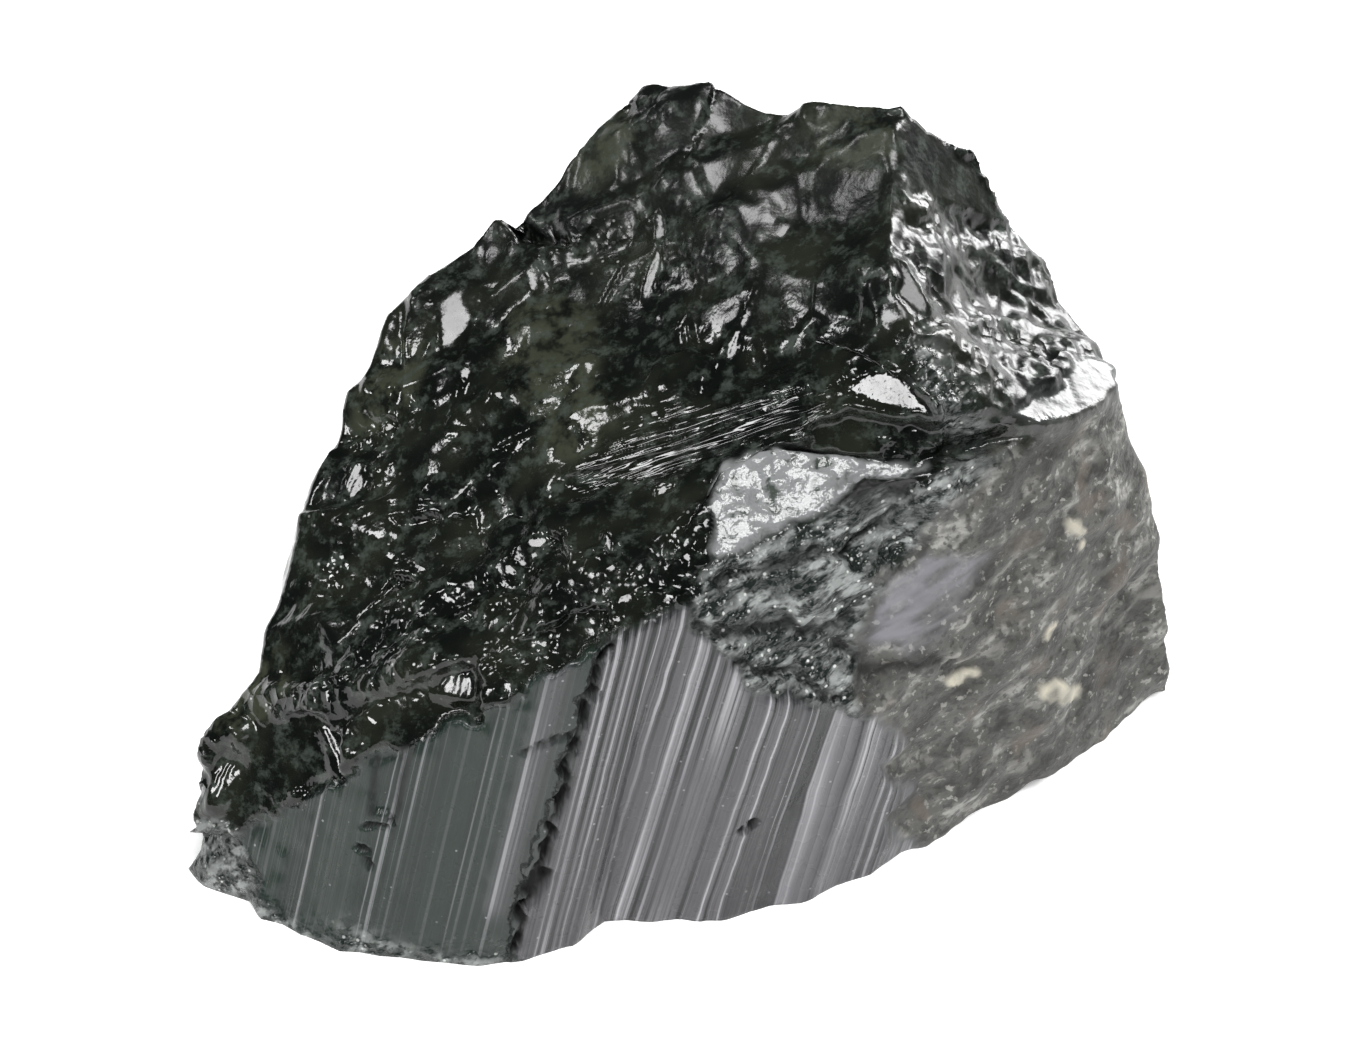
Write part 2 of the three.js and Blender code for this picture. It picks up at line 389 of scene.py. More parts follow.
@dataclass(frozen=True)
class Stroke:
    """A line in the view with a half width in pixels, such as a groove or a crack."""

    path: tuple[Pixel, ...]
    half_width: float

    def cover(self, seen: Array) -> Array:
        """A bell curve across the line: exp(-(distance / half width)^2)."""
        nearest = np.min([segment_distance(seen, *ends) for ends in zip(self.path, self.path[1:])], axis=0)
        return np.exp(-((nearest / self.half_width) ** 2))


@dataclass(frozen=True)
class Spot:
    """An oval in the view: its middle, half length, half width, and turn from upright.

    The turn is clockwise and in degrees.
    """

    middle: Pixel
    half_length: float
    half_width: float
    turn: float = 0.0
    fading: Pair = (0.5, 1.1)

    def measure(self, seen: Array) -> tuple[Array, Array]:
        """Places along and across the oval, in half lengths and half widths.

        Args:
            seen: Columns and rows.

        Returns:
            The two coordinates of each point.
        """
        turn = math.radians(self.turn)
        way = np.array([math.sin(turn), -math.cos(turn)])
        side = np.array([math.cos(turn), math.sin(turn)])
        gap = seen - np.array(self.middle)
        return gap @ way / self.half_length, gap @ side / self.half_width

    def cover(self, seen: Array) -> Array:
        """1 in the oval, falling to 0 over its outer half."""
        along, across = self.measure(seen)
        return 1.0 - ease(*self.fading, np.hypot(along, across))


Place = Patch | Stroke | Spot


def covers(places: tuple[Place, ...], seen: Array) -> Array:
    """The covers of several places, added up at each seen point."""
    return sum(place.cover(seen) for place in places)


# The skin

# Cuts of a triangle, by how many of its sides are split: 0 to 2 are its corners, 3 to 5 its sides' middles
CUTS = {
    0: ((0, 1, 2),),
    1: ((0, 3, 2), (3, 1, 2)),
    2: ((3, 1, 4), (0, 3, 4), (0, 4, 2)),
    3: ((0, 3, 5), (1, 4, 3), (2, 5, 4), (3, 4, 5)),
}


class Skin:
    """Shared points and triangles of the stone's surface, open at the foot until it is closed."""

    SPLIT_ROUNDS = 4
    MERGE_STEPS_IN_A_METRE = 1e7
    FOOT_TOP = 1e-6
    TABLE_TOP = 1e-7
    TABLE_GAP = 2e-6
    FINE_FACING = -0.1

    def __init__(self, points: Array, triangles: Array) -> None:
        """Takes over points in metres and triangles that point outwards."""
        self.points = points
        self.triangles = triangles

    @classmethod
    def from_node(cls, node: bpy.types.Object) -> "Skin":
        """The skin of a CAD node without its flat foot.

        Args:
            node: The node's object, whose mesh is only read.

        Returns:
            A skin with doubled points merged.
        """
        mesh = node.data
        loose = np.empty(len(mesh.vertices) * 3, np.float32)
        mesh.vertices.foreach_get("co", loose)
        mesh.calc_loop_triangles()
        corners = np.empty(len(mesh.loop_triangles) * 3, np.int32)
        mesh.loop_triangles.foreach_get("vertices", corners)
        loose = loose.reshape(-1, 3).astype(np.float64)
        rounded = np.round(loose * cls.MERGE_STEPS_IN_A_METRE).astype(np.int64)
        merged, places = np.unique(rounded, axis=0, return_inverse=True)
        triangles = places.reshape(-1)[corners].reshape(-1, 3)
        points = merged / cls.MERGE_STEPS_IN_A_METRE
        on_table = (points[triangles][:, :, 2] < cls.FOOT_TOP).all(axis=1)
        used, renumbered = np.unique(triangles[~on_table], return_inverse=True)
        return cls(points[used], renumbered.reshape(-1, 3))

    @property
    def on_table(self) -> Array:
        """Which points lie on the table."""
        return self.points[:, 2] < self.TABLE_TOP

    def normals(self) -> Array:
        """Outward normals of the points: the sum of the cross products of their triangles' edges.

        Returns:
            One vector of length one for each point.
        """
        first, second, third = (self.points[self.triangles[:, corner]] for corner in range(3))
        areas = np.cross(second - first, third - first)
        total = np.zeros_like(self.points)
        for corner in range(3):
            for axis in range(3):
                total[:, axis] += np.bincount(self.triangles[:, corner], areas[:, axis], len(self.points))
        return unit(total)

    def edges(self) -> tuple[Array, Array]:
        """Every edge once, and for each side of each triangle the edge that it is.

        Returns:
            Pairs of points, and their numbers in the order of the triangles' sides.
        """
        sides = np.concatenate([self.triangles[:, [a, b]] for a, b in ((0, 1), (1, 2), (2, 0))])
        keys = sides.min(axis=1) * len(self.points) + sides.max(axis=1)
        found, which = np.unique(keys, return_inverse=True)
        pairs = np.stack([found // len(self.points), found % len(self.points)], axis=1)
        return pairs, which.reshape(3, -1).T

    def split_long_edges(self, view: PhotoView, fine: float, coarse: float) -> None:
        """Halves every edge that is too long, in a few rounds, and cuts the triangles on it to match.

        Args:
            view: The view whose near side gets the fine edges.
            fine: Longest edge that faces the view.
            coarse: Longest edge elsewhere.
        """
        for _ in range(self.SPLIT_ROUNDS):
            pairs, which = self.edges()
            ends = self.points[pairs]
            lit = view.facing(self.points, self.normals())[pairs].max(axis=1) > self.FINE_FACING
            long = np.linalg.norm(ends[:, 0] - ends[:, 1], axis=1) > np.where(lit, fine, coarse)
            middle = np.full(len(pairs), -1)
            middle[long] = len(self.points) + np.arange(long.sum())
            self.points = np.concatenate([self.points, ends[long].mean(axis=1)])
            self.triangles = self.cut(self.triangles, middle[which])

    @staticmethod
    def cut(triangles: Array, middles: Array) -> Array:
        """Triangles cut at the middles of their split sides.

        Each is first turned until its split sides come first, and then cut as its row of CUTS says.

        Args:
            triangles: Three points each.
            middles: For each side, the new point on it, or -1 where it stays whole.

        Returns:
            The new triangles.
        """
        halved = middles >= 0
        split = halved.sum(axis=1)
        lead = np.where(split == 2, (~halved).argmax(axis=1) + 1, halved.argmax(axis=1))
        order = (lead[:, None] + np.arange(3)) % 3
        turned = [np.take_along_axis(part, order, 1) for part in (triangles, middles)]
        corners = np.concatenate(turned, axis=1)
        pieces = [corners[split == count][:, list(cut)] for count, cuts in CUTS.items() for cut in cuts]
        return np.concatenate(pieces)

    def spread(self, values: Array, rounds: int, share: float = 0.5) -> Array:
        """Values evened out over the skin: each moves a share of the way to its neighbours' mean, in rounds.

        Args:
            values: One row for each point.
            rounds: How often.
            share: How far each time.

        Returns:
            The evened values.
        """
        pairs, _ = self.edges()
        ends = np.concatenate([pairs, pairs[:, ::-1]])
        count = np.bincount(ends[:, 0], minlength=len(values))
        even = values.reshape(len(values), -1).copy()
        for _ in range(rounds):
            columns = [np.bincount(ends[:, 0], column[ends[:, 1]], len(values)) for column in even.T]
            even += share * (np.stack(columns, axis=1) / count[:, None] - even)
        return even.reshape(values.shape)

    def soften(self, rounds: int) -> None:
        """Rounds off the solid's facets, with the points on the table left on it."""
        foot = self.on_table
        even = self.spread(self.points, rounds)
        self.points = np.where(foot[:, None], self.points, even)

    def move(self, ways: Array) -> None:
        """Moves the points. Those on the table stay on it, and none goes below it.

        Args:
            ways: One vector in metres for each point.
        """
        foot = self.on_table
        self.points = self.points + ways
        self.points[:, 2] = np.where(foot, 0.0, np.maximum(self.points[:, 2], self.TABLE_GAP))

    def close_foot(self) -> None:
        """Closes the bottom with a flat fan from its middle to the points on the table, in order round it."""
        rim = np.flatnonzero(self.on_table)
        middle = self.points[rim].mean(axis=0)
        around = self.points[rim] - middle
        rim = rim[np.argsort(np.arctan2(around[:, 1], around[:, 0]))]
        hub = np.full(len(rim), len(self.points))
        self.points = np.concatenate([self.points, middle[None]])
        self.triangles = np.concatenate([self.triangles, np.stack([hub, np.roll(rim, -1), rim], axis=1)])

    def to_object(self, name: str, marks: dict[Zone, Array]) -> bpy.types.Object:
        """The skin as a smooth-shaded mesh object with its zones as point attributes.

        Args:
            name: The object's name.
            marks: Values of each attribute, one for each point.

        Returns:
            The object, at the origin.
        """
        mesh = bpy.data.meshes.new(name)
        mesh.vertices.add(len(self.points))
        mesh.vertices.foreach_set("co", self.points.astype(np.float32).ravel())
        mesh.loops.add(self.triangles.size)
        mesh.loops.foreach_set("vertex_index", self.triangles.astype(np.int32).ravel())
        mesh.polygons.add(len(self.triangles))
        mesh.polygons.foreach_set("loop_start", np.arange(0, self.triangles.size, 3, dtype=np.int32))
        mesh.polygons.foreach_set("use_smooth", np.ones(len(self.triangles), bool))
        mesh.update(calc_edges=True)
        for zone, values in marks.items():
            attribute = mesh.attributes.new(zone.value, "FLOAT", "POINT")
            attribute.data.foreach_set("value", values.astype(np.float32))
        stone = bpy.data.objects.new(name, mesh)
        bpy.context.scene.collection.objects.link(stone)
        return stone


# Places on the stone, in pixels of the view

LEFT_PRISM = Patch(
    (
        (243, 832), (300, 800), (350, 775), (378, 752), (402, 745), (440, 728), (481, 712), (520, 692),
        (556, 672), (578, 662), (607, 640), (575, 770), (545, 850), (520, 930), (515, 980), (420, 1000),
        (300, 965), (262, 905),
    ),
    softness=4.0,
)
RIGHT_PRISM = Patch(
    (
        (607, 640), (640, 622), (662, 612), (694, 604), (700, 640), (725, 655), (745, 688), (790, 690),
        (830, 712), (868, 718), (904, 738), (886, 768), (914, 795), (890, 826), (918, 852), (900, 905),
        (800, 950), (600, 970), (515, 980), (520, 930), (545, 850), (575, 770),
    ),
    softness=9.0,
)
CRUST_SIDE = Patch(
    (
        (870, 905), (870, 800), (870, 742), (860, 718), (850, 690), (862, 600), (900, 560), (960, 500),
        (1000, 450), (1045, 436), (1118, 403), (1200, 390), (1260, 700), (1000, 900),
    ),
    softness=14.0,
)
ROUGH_BAND = Patch(
    (
        (694, 604), (706, 565), (760, 545), (860, 500), (960, 470), (1000, 450), (960, 500), (900, 560),
        (862, 600), (850, 690), (868, 718), (830, 712), (790, 690), (745, 688), (725, 655), (700, 640),
    ),
)
VIOLET_PATCH = Patch(((862, 640), (880, 585), (930, 560), (985, 555), (965, 610), (920, 650)), softness=9.0)
SHELF = Patch(
    (
        (750, 450), (823, 457), (916, 457), (928, 468), (862, 478), (852, 497), (820, 513), (756, 540),
        (735, 552), (709, 562), (711, 509), (715, 467),
    ),
    softness=5.0,
)
CHIP = Patch(
    (
        (846, 391), (858, 375), (887, 364), (900, 375), (922, 397), (937, 415), (897, 412), (868, 404),
        (849, 399),
    ),
    softness=3.0,
)
STEP_WALL = Patch(
    ((812, 425), (852, 411), (937, 424), (937, 452), (919, 460), (858, 455), (807, 445)),
    softness=8.0,
)
RIGHT_SLOPE = Patch(
    (
        (893, 190), (905, 215), (998, 222), (1055, 262), (1090, 340), (1120, 380), (1117, 401), (1005, 423),
        (960, 445), (940, 430), (935, 400), (914, 345), (890, 255),
    ),
)
GLARE = Patch(
    (
        (1005, 423), (1031, 433), (1069, 427), (1117, 401), (1112, 375), (1090, 362), (1063, 368),
        (1050, 385), (1030, 395),
    ),
    softness=5.0,
)
SMOOTH_PLATES = (
    Patch(((888, 98), (950, 130), (980, 160), (1010, 222), (960, 210), (905, 194), (892, 150)), 5.0),
    Patch(
        ((770, 130), (830, 105), (880, 102), (893, 165), (888, 250), (860, 260), (800, 235), (760, 190)),
        softness=12.0,
    ),
    Patch(((204, 735), (300, 714), (342, 738), (345, 780), (300, 804), (243, 836), (205, 828)), 4.0),
)
LAMINAE = Patch(
    ((560, 470), (640, 420), (760, 385), (850, 370), (845, 400), (800, 440), (700, 460), (620, 500)),
    softness=14.0,
)
OLIVE_PATCHES = (
    Spot((545, 345), 75, 55, 20.0),
    Spot((565, 415), 45, 55, 60.0),
    Spot((385, 390), 75, 32, 30.0),
    Spot((600, 150), 50, 30, 35.0),
    Spot((850, 130), 45, 60, 0.0),
    Spot((250, 690), 60, 40, 35.0),
)
CHIP_LINES = (
    Stroke(((445, 285), (405, 390), (350, 480), (325, 570)), 26.0),
    Stroke(((300, 690), (400, 610), (500, 570), (610, 545), (700, 480)), 34.0),
    Stroke(((235, 710), (330, 690), (450, 665), (560, 640), (690, 575)), 30.0),
    Stroke(((530, 232), (655, 240), (670, 310), (735, 345)), 26.0),
    Stroke(((890, 150), (895, 255), (915, 330)), 14.0),
    Stroke(((600, 110), (700, 100), (760, 120)), 22.0),
    Stroke(((720, 600), (800, 590), (900, 510)), 60.0),
    Stroke(((930, 230), (1000, 290), (1060, 390)), 60.0),
    Stroke(((812, 434), (870, 440), (937, 436)), 16.0),
)
LEFT_CORNER = Patch(((190, 815), (225, 812), (262, 838), (268, 905), (300, 960), (200, 940), (170, 870)), 8.0)
RAGGED_FOOT = Stroke(((230, 905), (300, 945), (400, 968), (500, 970)), 20.0)
SLOPE_GRAVEL = Stroke(((928, 355), (950, 400), (968, 445)), 20.0)
CRUSHED_LINES = (
    Stroke(((240, 702), (330, 690), (450, 662), (560, 632)), 17.0),
    Stroke(((222, 742), (208, 790), (204, 830)), 12.0),
    Stroke(((250, 832), (300, 806), (352, 778)), 6.0),
)
# Where the left prism gets a lighter ground and strong painted highlight streaks
BRIGHT_LINES = Stroke(((562, 668), (540, 760), (500, 905)), 16.0)
GLITTER = (
    Stroke(((285, 700), (380, 655), (480, 625), (580, 600), (690, 560)), 13.0),
    Stroke(((238, 832), (300, 806), (345, 784), (400, 752), (480, 716), (556, 676), (606, 646)), 5.0),
    Stroke(((304, 716), (330, 745), (346, 782)), 8.0),
)
NOTCH = Stroke(((508, 212), (526, 232), (560, 240)), 7.0)
TIP_CORNER = Spot((226, 742), 34, 30)
CREVICES = (
    Stroke(((705, 634), (760, 622), (810, 630), (850, 612)), 6.0),
    Stroke(((728, 662), (790, 670), (842, 702)), 5.0),
    Stroke(((842, 640), (868, 670), (945, 664)), 9.0),
    Stroke(((715, 585), (780, 562), (850, 548), (900, 512)), 5.0),
    Stroke(((865, 498), (900, 490)), 16.0),
)
GROOVE = Stroke(((606, 642), (588, 705), (570, 780), (549, 850), (531, 905), (520, 945)), 3.6)
GROOVE_PITS = (
    Spot((603, 655), 12, 5, 15.0),
    Spot((594, 684), 13, 6, 10.0),
    Spot((586, 712), 12, 5, 20.0),
    Spot((580, 741), 14, 5, 10.0),
    Spot((572, 772), 13, 5, 15.0),
    Spot((565, 801), 13, 6, 20.0),
    Spot((557, 828), 12, 5, 10.0),
    Spot((548, 856), 14, 6, 20.0),
    Spot((536, 883), 14, 11, 35.0),
    Spot((525, 912), 13, 9, 20.0),
    Spot((519, 940), 12, 6, 10.0),
)
CRACK = Stroke(((524, 753), (545, 742), (568, 736)), 2.2)
DARK_RIDGE = Stroke(((735, 655), (700, 790), (655, 920)), 6.0)
PITS = (
    Spot((372, 827), 5, 13, 5.0),
    Spot((385, 815), 8, 6, 30.0),
    Spot((361, 851), 5, 12, 10.0),
    Spot((369, 864), 6, 10, -10.0),
    Spot((752, 820), 8, 5, 30.0),
    Spot((744, 830), 5, 7, 0.0),
)
SLOT = Patch(((372, 757), (402, 750), (396, 815), (372, 812)), softness=3.0)
SLOT_EDGES = (Stroke(((376, 757), (370, 814)), 3.5), Stroke(((405, 748), (397, 812)), 4.5))
RAISED_GRAINS = (
    Spot((1065, 692), 12, 30, 0.0),
    Spot((962, 682), 9, 22, -25.0),
    Spot((1050, 625), 9, 9),
    Spot((1072, 525), 12, 8, -20.0),
    Spot((1080, 545), 6, 6),
)
FLAT_GRAINS = (
    Spot((850, 545), 7, 22, -10.0),
    Spot((965, 455), 12, 22, -20.0),
    Spot((725, 545), 16, 14, 20.0),
)
LAMINA_ENDS: tuple[Pixel, Pixel] = ((610, 470), (840, 392))
STREAK_ENDS: tuple[Pixel, Pixel] = ((905, 650), (1060, 545))
SCAR_ENDS: tuple[Pixel, Pixel] = ((635, 310), (670, 215))

# Painted shade: how dark each place is painted, where their edges are ragged and where they are clean

RAGGED_SHADES = ((1.0, (GROOVE,)), (0.85, PITS + GROOVE_PITS), (0.8, CREVICES))
CLEAN_SHADES = ((0.7, SLOT_EDGES), (0.9, (CRACK,)), (0.45, (DARK_RIDGE,)))

# Angles around the crystal axis, in degrees

BACK_FACES = (18.0, 55.0, 90.0, 128.0)
END_CRUST = (-76.0, 18.0)
SECTOR_MARGIN = 4.0
ANGLE_WANDER = (Wave(swell, 3.0, 2.5, 17), Wave(swell, 2.0, 0.8, 18))

# How far the edges of the places wander, in columns and in rows of the view

EDGE_WANDER = (
    (Wave(swell, 8.0, 1.3, 11), Wave(swell, 5.0, 0.5, 13)),
    (Wave(swell, 8.0, 1.3, 12), Wave(swell, 5.0, 0.5, 14)),
)

# Relief, with heights in millimetres

FACE_RIDGES = (Wave(swell, 0.10, 2.0, 21), Wave(swell, 0.07, 0.95, 22), Wave(swell, 0.035, 0.5, 23))
GROOVE_WAVER = Wave(swell, 0.15, 0.9, 24)
BROAD_BREAK = (Wave(scars, 0.55, 5.0, 30), Wave(scars, 0.15, 2.8, 31), Wave(flakes, 0.26, 2.4, 35))
LONG_CHIPS = Wave(flakes, 0.24, 1.4, 41)
SMALL_CHIPS = Wave(flakes, 0.10, 0.7, 42)
SLOPE_LUMPS = (Wave(swell, 0.08, 1.5, 51), Wave(creases, -0.26, 0.75, 52), Wave(swell, 0.06, 0.5, 53))
SHELF_FLAKES = (Wave(flakes, 0.15, 1.2, 55), Wave(flakes, 0.07, 0.65, 58))
BAND_GRIT = Wave(octaves, 0.24, 1.5, 61)
SHEET_WARP = Wave(swell, 0.5, 1.6, 71)
SHEET_PITCHES_AND_HEIGHTS = ((1.5, 0.22), (0.7, 0.12))
SHEET_CLIMB = 0.8
CRUST_LUMPS = Wave(octaves, 0.5, 2.4, 81)
CRUST_GRIT = Wave(swell, 0.1, 0.7, 84)

# Patches without relief, with heights as shares

CREAM_SPECKLE = Wave(swell, 0.6, 0.45, 91)
CHIP_CLUSTERS = Wave(swell, 1.0, 1.8, 95)


def sector(angle: Array, low: float, high: float) -> Array:
    """1 between two angles, falling to 0 over a margin on both sides of each."""
    rise = ease(low - SECTOR_MARGIN, low + SECTOR_MARGIN, angle)
    return rise * ease(high + SECTOR_MARGIN, high - SECTOR_MARGIN, angle)


@dataclass(frozen=True)
class Facet:
    """A flat break: its place, what it faces, how deep it may cut and the ripples across it.

    The depth is in millimetres.
    """

    place: Patch | Spot
    faces: Beam | Triple
    deepest: float = 0.45
    ripples: float = 0.0

    def normal(self, middle: Array, eye: Array) -> Array:
        """The facet's own normal, or the one that mirrors a light into the view.

        Args:
            middle: The facet's middle.
            eye: Where the camera is.

        Returns:
            A vector of length one.
        """
        if isinstance(self.faces, Beam):
            return unit(unit(np.array(self.faces.value) - middle) + unit(eye - middle))
        return unit(np.array(self.faces))

    def phase(self, seen: Array) -> Array:
        """The place across an oval facet, counted in ripples."""
        return 0.5 * self.ripples * self.place.measure(seen)[1]


BROAD_FACETS = (
    Facet(SHELF, Beam.OVERHEAD, 0.7),
    Facet(CHIP, Beam.FRONT_LEFT, 1.6),
    Facet(GLARE, (0.347, 0.007, 0.938), 0.6),
    Facet(SMOOTH_PLATES[0], (0.68, -0.34, 0.65), 1.0),
    Facet(SMOOTH_PLATES[2], (-0.45, -0.70, 0.56), 1.3),
    Facet(STEP_WALL, (-0.09, -0.78, 0.62), 0.5),
    Facet(LAMINAE, (-0.32, -0.57, 0.75), 0.8),
    Facet(Patch(((428, 700), (470, 664), (492, 684), (476, 714), (440, 730)), 3.0), Beam.FRONT_LEFT, 0.8),
    Facet(
        Patch(((345, 784), (405, 750), (480, 717), (468, 668), (400, 690), (345, 725)), 3.0),
        (-0.10, -0.70, 0.71),
        0.6,
    ),
    Facet(
        Patch(((482, 716), (556, 680), (606, 650), (605, 602), (540, 628), (474, 668)), 3.0),
        (-0.12, -0.60, 0.79),
        0.6,
    ),
    Facet(
        Patch(((388, 520), (430, 512), (475, 522), (470, 560), (430, 582), (392, 570)), 3.0),
        (-0.35, -0.25, 0.90),
        0.5,
    ),
    Facet(
        Patch(((482, 545), (510, 520), (560, 535), (570, 570), (535, 596), (495, 590)), 3.0),
        (-0.05, -0.52, 0.85),
        0.6,
    ),
)
SMALL_FACETS = (
    Facet(Spot((456, 318), 40, 27, 15.0), Beam.OVERHEAD, 0.9),
    Facet(Spot((662, 226), 17, 10, 8.0), Beam.OVERHEAD, 0.8),
    Facet(Spot((653, 272), 38, 13, 18.0), Beam.OVERHEAD, 0.8, 2.0),
    Facet(Spot((682, 318), 22, 7, 38.0), Beam.OVERHEAD, 0.45, 2.0),
    Facet(Spot((735, 345), 22, 15, 15.0), Beam.OVERHEAD, 0.45, 3.0),
    Facet(Spot((352, 480), 26, 15, 25.0), Beam.OVERHEAD, 0.45, 3.0),
    Facet(Spot((392, 428), 9, 8, 40.0), Beam.OVERHEAD),
    Facet(Spot((410, 402), 9, 7, 40.0), Beam.OVERHEAD),
    Facet(Spot((456, 686), 26, 36, 15.0), Beam.FRONT_LEFT, 0.5, 5.0),
    Facet(Spot((545, 231), 8, 20, -10.0), Beam.OVERHEAD),
    Facet(Spot((492, 580), 17, 9, -25.0), Beam.OVERHEAD),
    Facet(Spot((610, 542), 17, 9, -15.0), Beam.OVERHEAD),
    Facet(Spot((662, 485), 9, 20, -30.0), Beam.OVERHEAD),
    Facet(Spot((615, 613), 7, 10, 0.0), Beam.OVERHEAD),
    Facet(Spot((230, 774), 42, 19, 10.0), Beam.FRONT_LEFT, 0.9, 4.0),
    Facet(Spot((326, 752), 40, 15, -25.0), Beam.FRONT_LEFT, 0.8, 3.0),
    Facet(Spot((300, 790), 4, 26, -27.0), Beam.OVERHEAD, 0.4),
    Facet(Spot((783, 232), 13, 10, -30.0), Beam.OVERHEAD),
    Facet(Spot((912, 288), 42, 12, -32.0), Beam.OVERHEAD),
    Facet(Spot((888, 436), 7, 18, -8.0), Beam.OVERHEAD),
)


@dataclass
class CrystalStone:
    """The stone: its sizes, how its skin is carved, and what it is dressed with.

    Edges are in metres, depths and heights in millimetres, and rows are pixels of the view. A pair of
    facings or tilts is where a smooth step begins and ends.
    """

    view: PhotoView
    fine_edge: float = 0.25 * MM
    coarse_edge: float = 0.36 * MM
    crystal_axis: Triple = CRYSTAL_AXIS
    name: str = "tourmaline_stone"
    soft_rounds: int = 3
    flow_rounds: int = 30
    back_rounds: int = 80
    waviness: float = 0.65
    front_facing: Pair = (-0.05, 0.12)
    rim_facing: Pair = (-0.6, -0.3)
    calm_facing: Pair = (0.05, 0.4)
    top_tilt: Pair = (0.35, 0.6)
    rim_relief: float = 0.35
    left_ridges: float = 0.35
    groove_depth: float = 0.25
    pit_depth: float = 0.3
    slot_depth: float = 0.16
    crack_depth: float = 0.2
    crevice_depth: float = 0.3
    notch_depth: float = 0.8
    corner_height: float = 0.5
    grain_height: float = 0.12
    plate_smoothness: float = 0.85
    glare_flatness: float = 0.7
    glare_folds: float = 0.15
    violet_calm: float = 0.7
    band_shells: float = 0.4
    scar_stretch: float = 1.9
    low_scar_stretch: float = 2.6
    sheet_stretch: float = 4.0
    crust_stretch: float = 1.8
    low_rows: Pair = (340.0, 470.0)
    satin_rows: Pair = (400.0, 200.0)
    top_satin: float = 0.85
    hidden_chips: float = 0.7
    cluster_edge: Pair = (-0.15, 0.45)
    thin_gravel: float = 0.6
    left_bright_lines: float = 0.55
    back_violet: float = 0.3
    cream_strength: float = 0.8
    marks: dict[Zone, Array] = field(default_factory=dict)

    def build(self) -> bpy.types.Object:
        """Makes the stone's object from the CAD node.

        Returns:
            The finished object, without its material.
        """
        skin = Skin.from_node(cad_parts[STONE_NODE])
        skin.split_long_edges(self.view, self.fine_edge, self.coarse_edge)
        skin.soften(self.soft_rounds)
        self.skin = skin
        self.find_zones()
        self.carve()
        skin.close_foot()
        self.marks = {zone: np.append(values, 0.0) for zone, values in self.marks.items()}
        LOG.info("%s: %d points, %d triangles", self.name, len(skin.points), len(skin.triangles))
        return skin.to_object(self.name, self.marks)

    def find_zones(self) -> None:
        """Sorts the points into prism faces, crust and fracture, and evens out the prism faces behind."""
        skin, view = self.skin, self.view
        self.flow = unit(skin.spread(skin.normals(), self.flow_rounds))
        self.seen = view.project(skin.points)
        places = skin.points / MM
        self.ragged = self.seen + np.stack([layers(places, waves) for waves in EDGE_WANDER], axis=1)
        self.wavy = (1.0 - self.waviness) * self.seen + self.waviness * self.ragged
        facing = view.facing(skin.points, self.flow)
        self.front = ease(*self.front_facing, facing)
        self.near_rim = ease(*self.rim_facing, facing)
        self.calm_rim = self.rim_relief + (1.0 - self.rim_relief) * ease(*self.calm_facing, np.abs(facing))
        angle = self.angle_around(places)
        hidden = (1.0 - self.front) * (1.0 - ease(*self.top_tilt, self.flow[:, 2]))
        self.left = LEFT_PRISM.cover(self.ragged) * self.front
        self.right = RIGHT_PRISM.cover(self.ragged) * self.front
        self.back = sector(angle, BACK_FACES[0], BACK_FACES[-1]) * hidden
        self.ridged = limited(self.left + self.right + self.back)
        end = sector(angle, *END_CRUST) * hidden
        self.crust = limited(CRUST_SIDE.cover(self.ragged) * self.front + end) * (1.0 - self.ridged)
        self.fracture = 1.0 - limited(self.ridged + self.crust)
        self.shelf = SHELF.cover(self.ragged) * self.front
        self.chip = CHIP.cover(self.seen) * self.front
        self.glare = GLARE.cover(self.ragged) * self.front
        self.lamina_way = self.way_between(LAMINA_ENDS)
        self.streak_way = self.way_between(STREAK_ENDS)
        self.scar_way = self.way_between(SCAR_ENDS)
        skin.move(self.back[:, None] * (skin.spread(skin.points, self.back_rounds) - skin.points))
        self.across = self.across_faces(angle)

    def angle_around(self, places: Array) -> Array:
        """Angles around the crystal axis, from the right and anticlockwise as seen from above.

        Args:
            places: Points in millimetres.

        Returns:
            Degrees, with a wander of a few degrees.
        """
        away = places - places[:, 2:] * np.array(self.crystal_axis)
        away = away - away.mean(axis=0)
        return np.degrees(np.arctan2(away[:, 1], away[:, 0])) + layers(places, ANGLE_WANDER)

    def across_faces(self, angle: Array) -> Array:
        """The distance of each point across the prism face that it lies on.

        Args:
            angle: Angles around the crystal axis, in degrees.

        Returns:
            Millimetres, and 0 off the prism faces.
        """
        axis = unit(np.array(self.crystal_axis))
        sides = zip(BACK_FACES, BACK_FACES[1:])
        behind = [self.back * ((angle > low) & (angle <= high)) for low, high in sides]
        across = np.zeros(len(angle))
        for face in [self.left, self.right] + behind:
            normal = unit((face[:, None] * self.flow).sum(axis=0))
            way = unit(np.cross(axis, normal))
            across = np.where(face > 0.0, self.skin.points @ way / MM, across)
        return across

    def carve(self) -> None:
        """Cuts the broad facets, moves the skin by the relief of each zone, and cuts the small facets."""
        skin = self.skin
        self.ripple = np.zeros(len(skin.points))
        self.rippled = np.zeros(len(skin.points))
        self.cut(BROAD_FACETS)
        places = skin.points / MM
        relief = self.ridge_relief(places) + self.fracture_relief(places) + self.crust_relief(places)
        skin.move((relief * self.calm_rim)[:, None] * MM * self.flow)
        faceted = self.cut(SMALL_FACETS)
        self.keep_marks(places, faceted)

